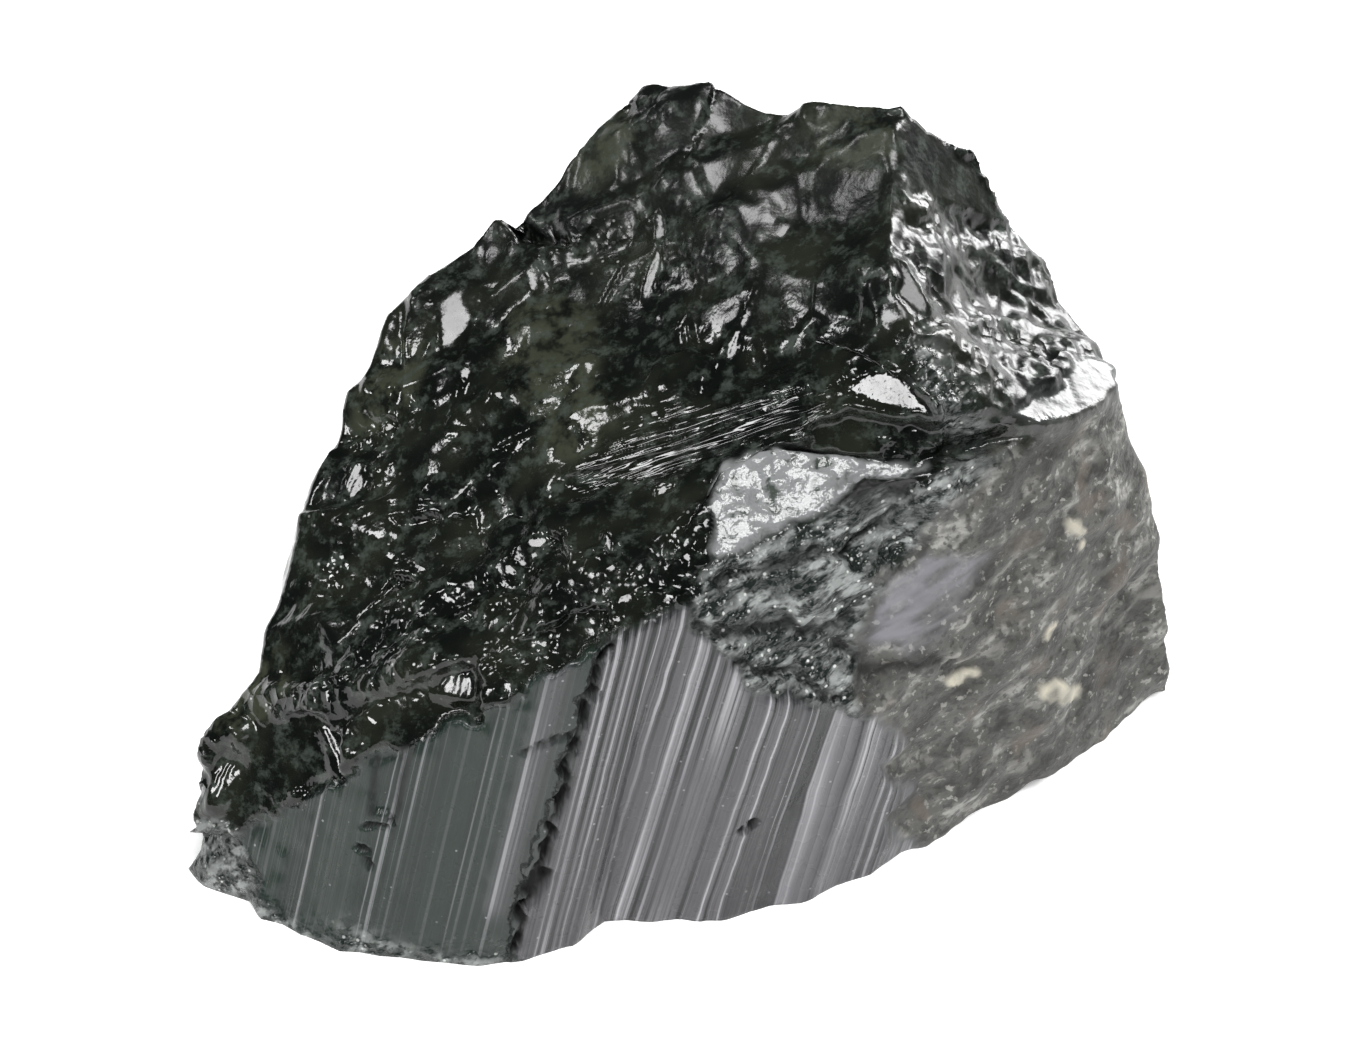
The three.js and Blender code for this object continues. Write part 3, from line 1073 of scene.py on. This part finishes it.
    def ridge_relief(self, places: Array) -> Array:
        """Lengthwise ridges: three swells of the distance across the face, with a groove and pits between.

        Args:
            places: Points in millimetres.

        Returns:
            Heights in millimetres.
        """
        line = np.zeros_like(places)
        line[:, 0] = self.across
        ridges = layers(line, FACE_RIDGES)
        strength = limited(self.left_ridges * self.left + self.right + self.back)
        groove = (self.groove_depth + GROOVE_WAVER.at(places)) * GROOVE.cover(self.ragged)
        hollows = self.pit_depth * covers(PITS + GROOVE_PITS, self.ragged)
        slot = self.slot_depth * SLOT.cover(self.seen)
        crack = self.crack_depth * CRACK.cover(self.seen)
        return ridges * strength - (groove + hollows + slot + crack) * self.front

    def fracture_relief(self, places: Array) -> Array:
        """The glassy break: large and small scars, flakes, and stacked laminae that drop in steps.

        Args:
            places: Points in millimetres.

        Returns:
            Heights in millimetres.
        """
        smooth = limited(covers(SMOOTH_PLATES, self.ragged) * self.front)
        flat = limited(self.shelf + self.chip + self.glare_flatness * self.glare)
        slope = RIGHT_SLOPE.cover(self.ragged) * self.front * (1.0 - self.glare)
        band = ROUGH_BAND.cover(self.ragged) * self.front
        laminae = LAMINAE.cover(self.seen) * self.front
        rough = (1.0 - self.plate_smoothness * smooth) * (1.0 - flat)
        low = ease(*self.low_rows, self.seen[:, 1]) * self.front
        upper = self.shells(places, self.scar_way, self.scar_stretch)
        lower = self.shells(places, self.lamina_way, self.low_scar_stretch)
        shells = (1.0 - low) * upper + low * lower
        relief = shells * (1.0 - slope) * (1.0 - band) * (1.0 - laminae)
        relief = relief + layers(places, SLOPE_LUMPS) * slope
        relief = relief + (self.band_shells * shells + BAND_GRIT.at(places)) * band
        relief = relief + self.terraces(places, self.lamina_way) * laminae
        crinkles = layers(places, SHELF_FLAKES)
        crevices = self.crevice_depth * covers(CREVICES, self.ragged) * self.front
        notch = self.notch_depth * NOTCH.cover(self.seen) * self.near_rim
        corner = self.corner_height * TIP_CORNER.cover(self.seen) * self.near_rim
        return self.fracture * rough * relief + self.shelf * crinkles + corner - notch - crevices

    def shells(self, places: Array, way: Array, factor: float) -> Array:
        """Broad scars and tilted flakes that run one way, with small chips where the break is chipped.

        Args:
            places: Points in millimetres.
            way: The way that the scars run.
            factor: How much longer they are that way.

        Returns:
            Heights in millimetres.
        """
        long = stretched(places, way, factor)
        chips = LONG_CHIPS.at(long) + SMALL_CHIPS.at(places)
        return layers(long, BROAD_BREAK) + chips * self.chipped(places)

    def way_between(self, ends: tuple[Pixel, Pixel]) -> Array:
        """The way along the skin from one place in the view to another."""
        return unit(self.anchor(ends[1]) - self.anchor(ends[0]))

    def anchor(self, pixel: Pixel) -> Array:
        """The point of the skin that is seen at a pixel.

        Args:
            pixel: Column and row.

        Returns:
            The point in metres.
        """
        gap = np.linalg.norm(self.seen - np.array(pixel), axis=1)
        gap = np.where(self.front < 0.5, np.inf, gap)
        return self.skin.points[gap.argmin()]

    def terraces(self, places: Array, lamina: Array) -> Array:
        """Stacked sheets: heights that rise slowly across the laminae and drop at once, with ragged edges.

        Args:
            places: Points in millimetres.
            lamina: The way the laminae run.

        Returns:
            Heights in millimetres.
        """
        climb = unit(np.cross(np.array([0.0, 0.0, 1.0]), lamina))
        warp = SHEET_WARP.at(stretched(places, lamina, self.sheet_stretch))
        total = np.zeros(len(places))
        for pitch, height in SHEET_PITCHES_AND_HEIGHTS:
            phase = (places @ climb / pitch + warp / pitch) % 1.0
            total += height * (np.minimum(phase / SHEET_CLIMB, (1.0 - phase) / (1.0 - SHEET_CLIMB)) - 0.5)
        return total

    def crust_relief(self, places: Array) -> Array:
        """The weathered side: lumps along the streaks, calmer on the violet patch, with raised grains.

        Args:
            places: Points in millimetres.

        Returns:
            Heights in millimetres.
        """
        long = stretched(places, self.streak_way, self.crust_stretch)
        calm = 1.0 - self.violet_calm * VIOLET_PATCH.cover(self.ragged)
        lumps = CRUST_LUMPS.at(long) + CRUST_GRIT.at(places)
        grains = self.grain_height * covers(RAISED_GRAINS, self.ragged)
        return self.crust * (lumps * calm + grains)

    def cut(self, facets: tuple[Facet, ...]) -> Array:
        """Presses the skin flat in each facet, on a plane through the skin at the facet's middle.

        Args:
            facets: The facets, one after the other.

        Returns:
            How far each point lies in a facet, from 0 to 1.
        """
        faceted = np.zeros(len(self.skin.points))
        for facet in facets:
            cover = facet.place.cover(self.wavy) * self.front * self.fracture
            middle = (cover[:, None] * self.skin.points).sum(axis=0) / cover.sum()
            normal = facet.normal(middle, self.view.eye)
            gap = (middle - self.skin.points) @ normal
            limit = facet.deepest * MM
            self.skin.move((cover * np.clip(gap, -limit, limit))[:, None] * normal)
            faceted = np.maximum(faceted, cover)
            if facet.ripples:
                self.ripple = np.where(cover > 0.0, facet.phase(self.seen), self.ripple)
                self.rippled = np.maximum(self.rippled, cover)
        return faceted

    def chipped(self, places: Array) -> Array:
        """Where the break is chipped small: along lines of chips and all over the hidden side, in clusters.

        Args:
            places: Points in millimetres.

        Returns:
            One share for each point.
        """
        lines = limited(covers(CHIP_LINES + GLITTER, self.ragged))
        clusters = ease(*self.cluster_edge, CHIP_CLUSTERS.at(places))
        smooth = limited(covers(SMOOTH_PLATES + (CHIP, GLARE), self.seen))
        return (lines * self.front * (1.0 - smooth) + self.hidden_chips * (1.0 - self.front)) * clusters

    def shade(self) -> Array:
        """How dark the painted shade is in the groove, pits, crevices and cracks.

        Returns:
            One share for each point.
        """
        ragged = sum(share * covers(places, self.ragged) for share, places in RAGGED_SHADES)
        clean = sum(share * covers(places, self.seen) for share, places in CLEAN_SHADES)
        return limited((ragged + clean) * self.front)

    def gravel(self) -> Array:
        """Where it is gravelly: below the shelf, at the left corner, beside the right slope and at the foot.

        Returns:
            One share for each point.
        """
        thin = self.thin_gravel * covers((LEFT_CORNER, SLOPE_GRAVEL), self.ragged)
        gravel = (ROUGH_BAND.cover(self.ragged) + thin) * (1.0 - self.ridged)
        gravel = gravel * (1.0 - self.shelf) * (1.0 - self.chip) + RAGGED_FOOT.cover(self.ragged)
        return limited(gravel) * self.front

    def keep_marks(self, places: Array, faceted: Array) -> None:
        """Stores what the material reads.

        Args:
            places: Points in millimetres, before the relief.
            faceted: How far each point lies in a small facet.
        """
        front = self.front
        # The bright lines give the left prism a violet ground and stronger painted highlight streaks there
        violet = self.right + self.left_bright_lines * self.left * BRIGHT_LINES.cover(self.seen)
        violet = violet + VIOLET_PATCH.cover(self.ragged) * self.crust + self.back_violet * self.back
        cream = limited(covers(RAISED_GRAINS + FLAT_GRAINS, self.ragged)) * front
        speckle = limited(self.cream_strength + CREAM_SPECKLE.at(places))
        satin = RIGHT_SLOPE.cover(self.ragged) + self.top_satin * ease(*self.satin_rows, self.seen[:, 1])
        crushed = limited(covers(CRUSHED_LINES, self.ragged)) * front * self.fracture
        self.marks = {
            Zone.RIDGED: self.ridged,
            Zone.VIOLET: limited(violet),
            Zone.ACROSS: self.across,
            Zone.CRUST: self.crust,
            Zone.CREAM: cream * speckle,
            Zone.OLIVE: limited(covers(OLIVE_PATCHES, self.ragged)) * front * self.fracture,
            Zone.SHADE: self.shade(),
            Zone.CLEAVED: limited(self.shelf + self.glare_folds * self.glare),
            Zone.GRAVEL: self.gravel(),
            Zone.LAMINAE: LAMINAE.cover(self.ragged) * front * (1.0 - self.chip),
            Zone.SATIN: limited(satin) * front,
            Zone.CHIPPED: np.maximum(self.chipped(places), crushed) * (1.0 - faceted),
            Zone.RIPPLE: self.ripple,
            Zone.RIPPLED: self.rippled,
        }


# Finishes


class Graph:
    """A node tree under construction, with short calls for the nodes used here."""

    def __init__(self, tree: bpy.types.NodeTree) -> None:
        """Starts from the given tree."""
        self.tree = tree

    def add(self, kind: str, inputs: dict | None = None, **settings: object) -> bpy.types.Node:
        """Adds a node, sets its options and feeds its inputs.

        Args:
            kind: The node's type.
            inputs: For each input's name or number, a socket to link or a value to set.
            **settings: The node's own properties.

        Returns:
            The node.
        """
        node = self.tree.nodes.new(kind)
        for name, value in settings.items():
            setattr(node, name, value)
        for key, value in (inputs or {}).items():
            self.feed(node.inputs[key], value)
        return node

    def feed(self, socket: Socket, value: object) -> None:
        """Links a socket to an input, or sets the input's own value."""
        if isinstance(value, Socket):
            self.tree.links.new(value, socket)
        else:
            socket.default_value = value

    def attribute(self, zone: Zone) -> Socket:
        """The value of one of the skin's point attributes."""
        return self.add("ShaderNodeAttribute", attribute_name=zone.value).outputs["Fac"]

    def noise(
        self, vector: object, scale: float, detail: float = 2.0, roughness: float = 0.5
    ) -> Socket:
        """Smooth noise from 0 to 1 over a vector."""
        inputs = {"Vector": vector, "Scale": scale, "Detail": detail, "Roughness": roughness}
        return self.add("ShaderNodeTexNoise", inputs).outputs["Fac"]

    def lines(self, value: object, scale: float, detail: float = 2.0) -> Socket:
        """Noise from 0 to 1 along one number, so that it draws lines."""
        inputs = {"W": value, "Scale": scale, "Detail": detail}
        return self.add("ShaderNodeTexNoise", inputs, noise_dimensions="1D").outputs["Fac"]

    def stretched(self, place: object, way: Triple, factor: float) -> Socket:
        """A place squeezed along one way, so that a pattern read there comes out longer that way."""
        turn = Vector(way).to_track_quat("X", "Z").to_euler()
        turned = self.add("ShaderNodeMapping", {"Vector": place, "Rotation": turn}, vector_type="TEXTURE")
        inputs = {"Vector": turned.outputs["Vector"], "Scale": (1.0 / factor, 1.0, 1.0)}
        return self.add("ShaderNodeMapping", inputs).outputs["Vector"]

    def bowls(self, vector: object, scale: float) -> Socket:
        """Distance to the nearest of scattered middles, in units of their spacing."""
        return self.add("ShaderNodeTexVoronoi", {"Vector": vector, "Scale": scale}).outputs["Distance"]

    def math(self, operation: str, first: object, second: object = 0.0, clamp: bool = False) -> Socket:
        """A function of one or two numbers."""
        inputs = {0: first, 1: second}
        return self.add("ShaderNodeMath", inputs, operation=operation, use_clamp=clamp).outputs[0]

    def times(self, first: object, second: object) -> Socket:
        """The product of two numbers."""
        return self.math("MULTIPLY", first, second)

    def plus(self, first: object, second: object, clamp: bool = False) -> Socket:
        """The sum of two numbers, kept from 0 to 1 where it is clamped."""
        return self.math("ADD", first, second, clamp)

    def span(
        self, value: object, low: float, high: float, start: float = 0.0, end: float = 1.0
    ) -> Socket:
        """A smooth step from start to end as the value goes from low to high."""
        inputs = {0: value, 1: low, 2: high, 3: start, 4: end}
        return self.add("ShaderNodeMapRange", inputs, interpolation_type="SMOOTHSTEP").outputs[0]

    def mix(self, share: object, first: object, second: object) -> Socket:
        """Two colours mixed by a share."""
        inputs = {0: share, 6: first, 7: second}
        return self.add("ShaderNodeMix", inputs, data_type="RGBA").outputs[2]

    def blend(self, share: object, first: object, second: object) -> Socket:
        """Two numbers mixed by a share."""
        return self.add("ShaderNodeMix", {0: share, 2: first, 3: second}, data_type="FLOAT").outputs[0]


def colour(red: float, green: float, blue: float) -> Colour:
    """A linear colour with full alpha."""
    return (red, green, blue, 1.0)


@dataclass(frozen=True)
class Finish:
    """One kind of skin as a node group that puts out its colour, roughness and fine height in millimetres."""

    name: str

    def group(self) -> bpy.types.NodeTree:
        """Makes the group.

        Returns:
            The node tree.
        """
        tree = bpy.data.node_groups.new(self.name, "ShaderNodeTree")
        tree.interface.new_socket("Place", in_out="INPUT", socket_type="NodeSocketVector")
        tree.interface.new_socket("Colour", in_out="OUTPUT", socket_type="NodeSocketColor")
        tree.interface.new_socket("Roughness", in_out="OUTPUT", socket_type="NodeSocketFloat")
        tree.interface.new_socket("Height", in_out="OUTPUT", socket_type="NodeSocketFloat")
        graph = Graph(tree)
        place = graph.add("NodeGroupInput").outputs["Place"]
        tint, roughness, height = self.draw(graph, place)
        graph.add("NodeGroupOutput", {"Colour": tint, "Roughness": roughness, "Height": height})
        return tree

    def draw(self, graph: Graph, place: Socket) -> tuple[Socket, Socket, Socket]:
        """Draws the finish inside the group.

        Args:
            graph: The group's graph.
            place: Object coordinates in millimetres.

        Returns:
            Sockets for colour, roughness and height.
        """
        raise NotImplementedError


@dataclass(frozen=True)
class GlassyBreak(Finish):
    """The fracture: near black and glossy, with olive clouds, pale dust, fine chips, painted glints and
    painted fold highlights.
    """

    black: Colour = colour(0.0028, 0.0038, 0.003)
    dust: Colour = colour(0.067, 0.080, 0.069)
    # Near white painted as glints on the chips
    painted_glint: Colour = colour(0.7, 0.71, 0.69)
    olive: Colour = colour(0.045, 0.050, 0.033)
    # Pale grey painted as highlights on the folds where it is cleaved
    fold_highlight: Colour = colour(0.30, 0.305, 0.31)
    lamina_way: Triple = (1.0, 0.0, 0.0)
    lamina_stretch: float = 9.0
    gloss: Pair = (0.07, 0.17)
    satin_roughness: float = 0.31
    cleaved_roughness: float = 0.17
    shell_height: float = 0.16
    grit_height: float = 0.028
    ripple_height: float = 0.008
    sheet_height: float = 0.3
    fold_height: float = 0.085

    def tint(self, graph: Graph, place: Socket, folds: Socket) -> Socket:
        """The colour: black and olive in clouds, dust, painted glints on chips, and painted highlights on the
        folds where it is cleaved.

        Args:
            graph: The group's graph.
            place: Object coordinates in millimetres.
            folds: The pattern of the cleaved places.

        Returns:
            The colour's socket.
        """
        clouds = graph.noise(place, 0.35, 3.0)
        speckle = graph.span(graph.noise(place, 0.9, 3.0, 0.7), 0.36, 0.6)
        share = graph.times(graph.attribute(Zone.OLIVE), speckle)
        share = graph.plus(share, graph.span(clouds, 0.4, 0.75, 0.0, 0.4), clamp=True)
        tint = graph.mix(share, self.black, self.olive)
        dust = graph.span(graph.noise(place, 1.3, 4.0, 0.7), 0.48, 0.72, 0.0, 0.85)
        tint = graph.mix(dust, tint, self.dust)
        # Painted glints: near white spots on the chipped places, where the clouds allow
        painted_glint_spots = graph.times(graph.span(graph.bowls(place, 2.4), 0.18, 0.09), graph.attribute(Zone.CHIPPED))
        tint = graph.mix(graph.times(painted_glint_spots, graph.span(clouds, 0.44, 0.54)), tint, self.painted_glint)
        # Painted highlights on the cleaved folds, over the dust
        folded = graph.mix(graph.span(folds, 0.33, 0.47), self.dust, self.fold_highlight)
        return graph.mix(graph.attribute(Zone.CLEAVED), tint, folded)

    def height(self, graph: Graph, place: Socket, folds: Socket) -> Socket:
        """The fine height: small shells on chips, grit and ripples, sheets on the laminae, and folds.

        Args:
            graph: The group's graph.
            place: Object coordinates in millimetres.
            folds: The pattern of the cleaved places.

        Returns:
            The height's socket, in millimetres.
        """
        shells = graph.math("POWER", graph.bowls(place, 1.7), 2.0)
        height = graph.times(shells, graph.times(graph.attribute(Zone.CHIPPED), self.shell_height))
        height = graph.plus(height, graph.times(graph.noise(place, 2.5, 2.0), self.grit_height))
        bent = graph.plus(graph.attribute(Zone.RIPPLE), graph.noise(place, 1.2, 1.0))
        waves = graph.math("COSINE", graph.times(bent, math.tau))
        waves = graph.times(waves, graph.times(graph.attribute(Zone.RIPPLED), self.ripple_height))
        height = graph.plus(height, waves)
        along = graph.stretched(place, self.lamina_way, self.lamina_stretch)
        sheets = graph.times(graph.noise(along, 2.4, 2.0), self.sheet_height)
        height = graph.blend(graph.attribute(Zone.LAMINAE), height, sheets)
        return graph.blend(graph.attribute(Zone.CLEAVED), height, graph.times(folds, self.fold_height))

    def draw(self, graph: Graph, place: Socket) -> tuple[Socket, Socket, Socket]:
        """Glossy in patches, satin and cleaved where the zones say so."""
        folds = graph.noise(place, 1.7, 3.0, 0.55)
        roughness = graph.span(graph.noise(place, 0.9, 2.0), 0.35, 0.7, *self.gloss)
        roughness = graph.blend(graph.attribute(Zone.SATIN), roughness, self.satin_roughness)
        roughness = graph.blend(graph.attribute(Zone.CLEAVED), roughness, self.cleaved_roughness)
        return self.tint(graph, place, folds), roughness, self.height(graph, place, folds)


@dataclass(frozen=True)
class RidgedFace(Finish):
    """The prism faces: green-grey on the left and violet-grey on the right, partly painted sheen, in
    lengthwise lines.
    """

    # The grounds are partly the faces' own tone and partly painted sheen; light is painted highlight streaks
    # and dust specks
    green: Colour = colour(0.018, 0.032, 0.025)
    violet: Colour = colour(0.104, 0.100, 0.110)
    light: Colour = colour(0.56, 0.55, 0.58)
    dark: Colour = colour(0.010, 0.012, 0.012)
    crystal_axis: Triple = CRYSTAL_AXIS
    fade_stretch: float = 6.0
    broad_light: float = 0.55
    narrow_light: float = 0.7
    line_height: float = 0.12
    speck_height: float = 0.012
    gloss: Pair = (0.24, 0.34)

    def draw(self, graph: Graph, place: Socket) -> tuple[Socket, Socket, Socket]:
        """Two grounds with painted highlight lines and dark lines that follow the distance across the face,
        and specks.
        """
        across = graph.attribute(Zone.ACROSS)
        side = graph.attribute(Zone.VIOLET)
        ground = graph.mix(side, self.green, self.violet)
        bands = graph.span(graph.lines(across, 0.35, 2.0), 0.52, 0.34, 0.0, 0.55)
        ground = graph.mix(bands, ground, self.dark)
        broad = graph.lines(across, 0.8, 2.0)
        narrow = graph.lines(across, 4.2, 3.0)
        along = graph.stretched(place, self.crystal_axis, self.fade_stretch)
        fading = graph.span(graph.noise(along, 0.5, 1.0), 0.35, 0.6, 0.35, 1.0)
        few = graph.span(graph.lines(across, 0.4, 1.0), 0.46, 0.64, 0.14, 0.62)
        strength = graph.times(graph.blend(side, few, 1.0), fading)
        # Painted highlights: pale streaks along the lines, the broad ones only on the violet side
        lights = graph.times(graph.span(broad, 0.48, 0.66), graph.times(side, self.broad_light))
        glints = graph.times(graph.span(narrow, 0.56, 0.68), self.narrow_light)
        lights = graph.times(graph.plus(lights, glints, clamp=True), strength)
        darks = graph.math("MAXIMUM", graph.span(narrow, 0.49, 0.34), graph.span(broad, 0.45, 0.33, 0.0, 0.8))
        tint = graph.mix(lights, ground, self.light)
        tint = graph.mix(graph.times(darks, strength), tint, self.dark)
        clusters = graph.span(graph.noise(place, 0.6, 2.0), 0.48, 0.62, 0.0, 0.5)
        dust = graph.times(graph.span(graph.bowls(place, 2.0), 0.13, 0.07), clusters)
        tint = graph.mix(dust, tint, self.light)
        specks = graph.span(graph.noise(place, 4.0, 2.0), 0.68, 0.76)
        height = graph.times(graph.lines(across, 3.2, 4.0), self.line_height)
        height = graph.plus(height, graph.times(specks, self.speck_height))
        return tint, graph.span(graph.noise(place, 0.8, 2.0), 0.3, 0.7, *self.gloss), height


@dataclass(frozen=True)
class WeatheredCrust(Finish):
    """The weathered side: brown-grey and dull, with dark hollows, a violet patch and cream grains."""

    ground: Colour = colour(0.126, 0.126, 0.116)
    dark: Colour = colour(0.040, 0.038, 0.035)
    pale: Colour = colour(0.50, 0.49, 0.46)
    cream: Colour = colour(0.74, 0.69, 0.57)
    violet: Colour = colour(0.28, 0.275, 0.305)
    tan: Colour = colour(0.175, 0.145, 0.120)
    streak_way: Triple = (1.0, 0.0, 0.0)
    streak_stretch: float = 1.8
    flute_stretch: float = 9.0
    speck_height: float = 0.16
    flute_height: float = 0.2
    gloss: Pair = (0.5, 0.72)

    def draw(self, graph: Graph, place: Socket) -> tuple[Socket, Socket, Socket]:
        """Brown-grey clouds, specks and hollows, fluted on the violet patch, with cream grains."""
        streaks = graph.stretched(place, self.streak_way, self.streak_stretch)
        clouds = graph.noise(streaks, 0.9, 3.0, 0.6)
        specks = graph.noise(place, 2.8, 3.0, 0.55)
        tint = graph.mix(graph.span(clouds, 0.52, 0.72), self.ground, self.pale)
        tint = graph.mix(graph.span(clouds, 0.5, 0.34), tint, self.dark)
        tint = graph.mix(graph.span(specks, 0.48, 0.36, 0.0, 0.75), tint, self.dark)
        tint = graph.mix(graph.span(specks, 0.58, 0.68, 0.0, 0.7), tint, self.pale)
        tint = graph.mix(graph.span(graph.noise(place, 0.5, 2.0), 0.56, 0.7, 0.0, 0.7), tint, self.tan)
        hollows = graph.span(graph.noise(streaks, 0.4, 2.0), 0.48, 0.36, 0.0, 0.55)
        tint = graph.mix(hollows, tint, self.dark)
        smooth = graph.attribute(Zone.VIOLET)
        flutes = graph.noise(graph.stretched(place, self.streak_way, self.flute_stretch), 1.6, 2.0)
        share = graph.times(smooth, graph.span(flutes, 0.3, 0.62, 0.25, 0.95))
        tint = graph.mix(share, tint, self.violet)
        tint = graph.mix(graph.attribute(Zone.CREAM), tint, self.cream)
        rough = graph.times(specks, self.speck_height)
        height = graph.blend(smooth, rough, graph.times(flutes, self.flute_height))
        return tint, graph.span(specks, 0.3, 0.7, *self.gloss), height


@dataclass(frozen=True)
class GravellyBreak(Finish):
    """Crushed stretches of the break: dark green-grey and grainy, with painted glints."""

    dark: Colour = colour(0.018, 0.024, 0.021)
    pale: Colour = colour(0.42, 0.44, 0.43)
    # Near white painted as glints on some grains
    painted_glint: Colour = colour(0.9, 0.91, 0.89)
    streak_way: Triple = (1.0, 0.0, 0.0)
    grain_stretch: float = 2.4
    grain_height: float = 0.2
    shell_height: float = 0.14
    gloss: Pair = (0.12, 0.36)

    def draw(self, graph: Graph, place: Socket) -> tuple[Socket, Socket, Socket]:
        """Streaked grains and small shells, with pale dust and painted glints on some of them."""
        along = graph.stretched(place, self.streak_way, self.grain_stretch)
        grains = graph.noise(along, 2.2, 3.0, 0.62)
        clumps = graph.span(graph.noise(place, 0.8, 2.0), 0.38, 0.58, 0.25, 1.0)
        tint = graph.mix(graph.times(graph.span(grains, 0.42, 0.62), clumps), self.dark, self.pale)
        # Painted glints: near white spots on some of the grains
        glints = graph.span(graph.bowls(place, 2.3), 0.21, 0.11)
        tint = graph.mix(graph.times(glints, graph.span(clumps, 0.3, 0.7)), tint, self.painted_glint)
        shells = graph.times(graph.bowls(place, 3.0), self.shell_height)
        height = graph.plus(graph.times(grains, self.grain_height), shells)
        return tint, graph.span(grains, 0.35, 0.65, *self.gloss), height


@dataclass(frozen=True)
class StoneFinish:
    """The stone's material: the finishes laid over each other by the skin's zones, with painted shade over
    them.
    """

    lamina_way: Triple
    streak_way: Triple
    name: str = "black_tourmaline"
    ior: float = 1.64
    specular: float = 0.36
    # Near black painted as shade in the groove, pits, crevices and cracks, and the roughness there
    painted_shade_black: Colour = colour(0.004, 0.004, 0.004)
    pit_roughness: float = 0.75

    @staticmethod
    def layer(graph: Graph, finish: Finish, place: Socket) -> bpy.types.Node:
        """One finish as a group node that reads the given place."""
        return graph.add("ShaderNodeGroup", {"Place": place}, node_tree=finish.group())

    def make(self) -> bpy.types.Material:
        """Makes the material.

        Returns:
            The material.
        """
        material = bpy.data.materials.new(self.name)
        material.use_nodes = True
        material.node_tree.nodes.clear()
        graph = Graph(material.node_tree)
        where = graph.add("ShaderNodeTexCoord").outputs["Object"]
        place = graph.add("ShaderNodeMapping", {"Vector": where, "Scale": (1 / MM,) * 3}).outputs["Vector"]
        glassy = self.layer(graph, GlassyBreak("glassy_break", lamina_way=self.lamina_way), place)
        tint, roughness, height = glassy.outputs
        over = (
            (Zone.RIDGED, RidgedFace("ridged_face")),
            (Zone.CRUST, WeatheredCrust("weathered_crust", streak_way=self.streak_way)),
            (Zone.GRAVEL, GravellyBreak("gravelly_break", streak_way=self.streak_way)),
        )
        for zone, finish in over:
            layer = self.layer(graph, finish, place)
            share = graph.attribute(zone)
            tint = graph.mix(share, tint, layer.outputs["Colour"])
            roughness = graph.blend(share, roughness, layer.outputs["Roughness"])
            height = graph.blend(share, height, layer.outputs["Height"])
        # Painted shade: the groove, pits, crevices and cracks painted near black and made rough
        pits = graph.attribute(Zone.SHADE)
        tint = graph.mix(pits, tint, self.painted_shade_black)
        roughness = graph.blend(pits, roughness, self.pit_roughness)
        bump = graph.add("ShaderNodeBump", {"Height": height, "Distance": MM, "Strength": 1.0})
        inputs = {
            "Base Color": tint,
            "Roughness": roughness,
            "Normal": bump.outputs["Normal"],
            "IOR": self.ior,
            "Specular IOR Level": self.specular,
        }
        surface = graph.add("ShaderNodeBsdfPrincipled", inputs)
        graph.add("ShaderNodeOutputMaterial", {"Surface": surface.outputs["BSDF"]})
        return material


# The table and the light


@dataclass(frozen=True)
class Softbox:
    """A square or oblong soft light: its place, size and power."""

    name: str
    beam: Beam
    width: float
    height: float
    watts: float

    def add(self) -> bpy.types.Object:
        """Hangs the light so that it faces the stone.

        Returns:
            The light's object.
        """
        data = bpy.data.lights.new(self.name, "AREA")
        data.shape = "RECTANGLE"
        data.size = self.width
        data.size_y = self.height
        data.energy = self.watts
        light = bpy.data.objects.new(self.name, data)
        light.location = self.beam.value
        light.rotation_euler = Vector(self.beam.value).to_track_quat("Z", "Y").to_euler()
        bpy.context.scene.collection.objects.link(light)
        return light


@dataclass(frozen=True)
class Studio:
    """The pale light table, the softboxes and the dim room."""

    table_half: float = 0.6
    table_tint: Colour = colour(0.92, 0.92, 0.92)
    table_roughness: float = 0.9
    table_glow: float = 0.42
    room_tint: Colour = colour(0.056, 0.066, 0.061)
    softboxes: tuple[Softbox, ...] = (
        Softbox("overhead_softbox", Beam.OVERHEAD, 0.24, 0.24, 2.5),
        Softbox("right_softbox", Beam.RIGHT, 0.30, 0.22, 3.6),
        Softbox("left_lamp", Beam.LEFT, 0.10, 0.10, 0.5),
        Softbox("front_left_lamp", Beam.FRONT_LEFT, 0.13, 0.13, 1.0),
    )

    def build(self) -> None:
        """Makes the table, lights and room."""
        half = self.table_half
        mesh = bpy.data.meshes.new("table")
        corners = [(-half, -half, 0), (half, -half, 0), (half, half, 0), (-half, half, 0)]
        mesh.from_pydata(corners, [], [(0, 1, 2, 3)])
        table = bpy.data.objects.new("table", mesh)
        bpy.context.scene.collection.objects.link(table)
        material = bpy.data.materials.new("pale_table")
        material.use_nodes = True
        surface = material.node_tree.nodes["Principled BSDF"]
        surface.inputs["Base Color"].default_value = self.table_tint
        surface.inputs["Roughness"].default_value = self.table_roughness
        surface.inputs["Emission Color"].default_value = self.table_tint
        surface.inputs["Emission Strength"].default_value = self.table_glow
        mesh.materials.append(material)
        for softbox in self.softboxes:
            softbox.add()
        world = bpy.data.worlds.new("room")
        world.use_nodes = True
        world.node_tree.nodes["Background"].inputs["Color"].default_value = self.room_tint
        bpy.context.scene.world = world
        bpy.context.scene.view_settings.view_transform = "Standard"


def main() -> None:
    """Builds the stone, dresses it and sets it on the table."""
    logging.basicConfig(level=logging.INFO, format="%(name)s: %(message)s")
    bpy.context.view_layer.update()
    view = PhotoView()
    view.add_camera()
    crystal = CrystalStone(view)
    stone = crystal.build()
    stone.data.materials.append(StoneFinish(tuple(crystal.lamina_way), tuple(crystal.streak_way)).make())
    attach(stone, "root")
    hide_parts(STONE_NODE)
    LOG.info("%s rides on root in place of %s", stone.name, STONE_NODE)
    Studio().build()


if __name__ == "__main__":
    main()
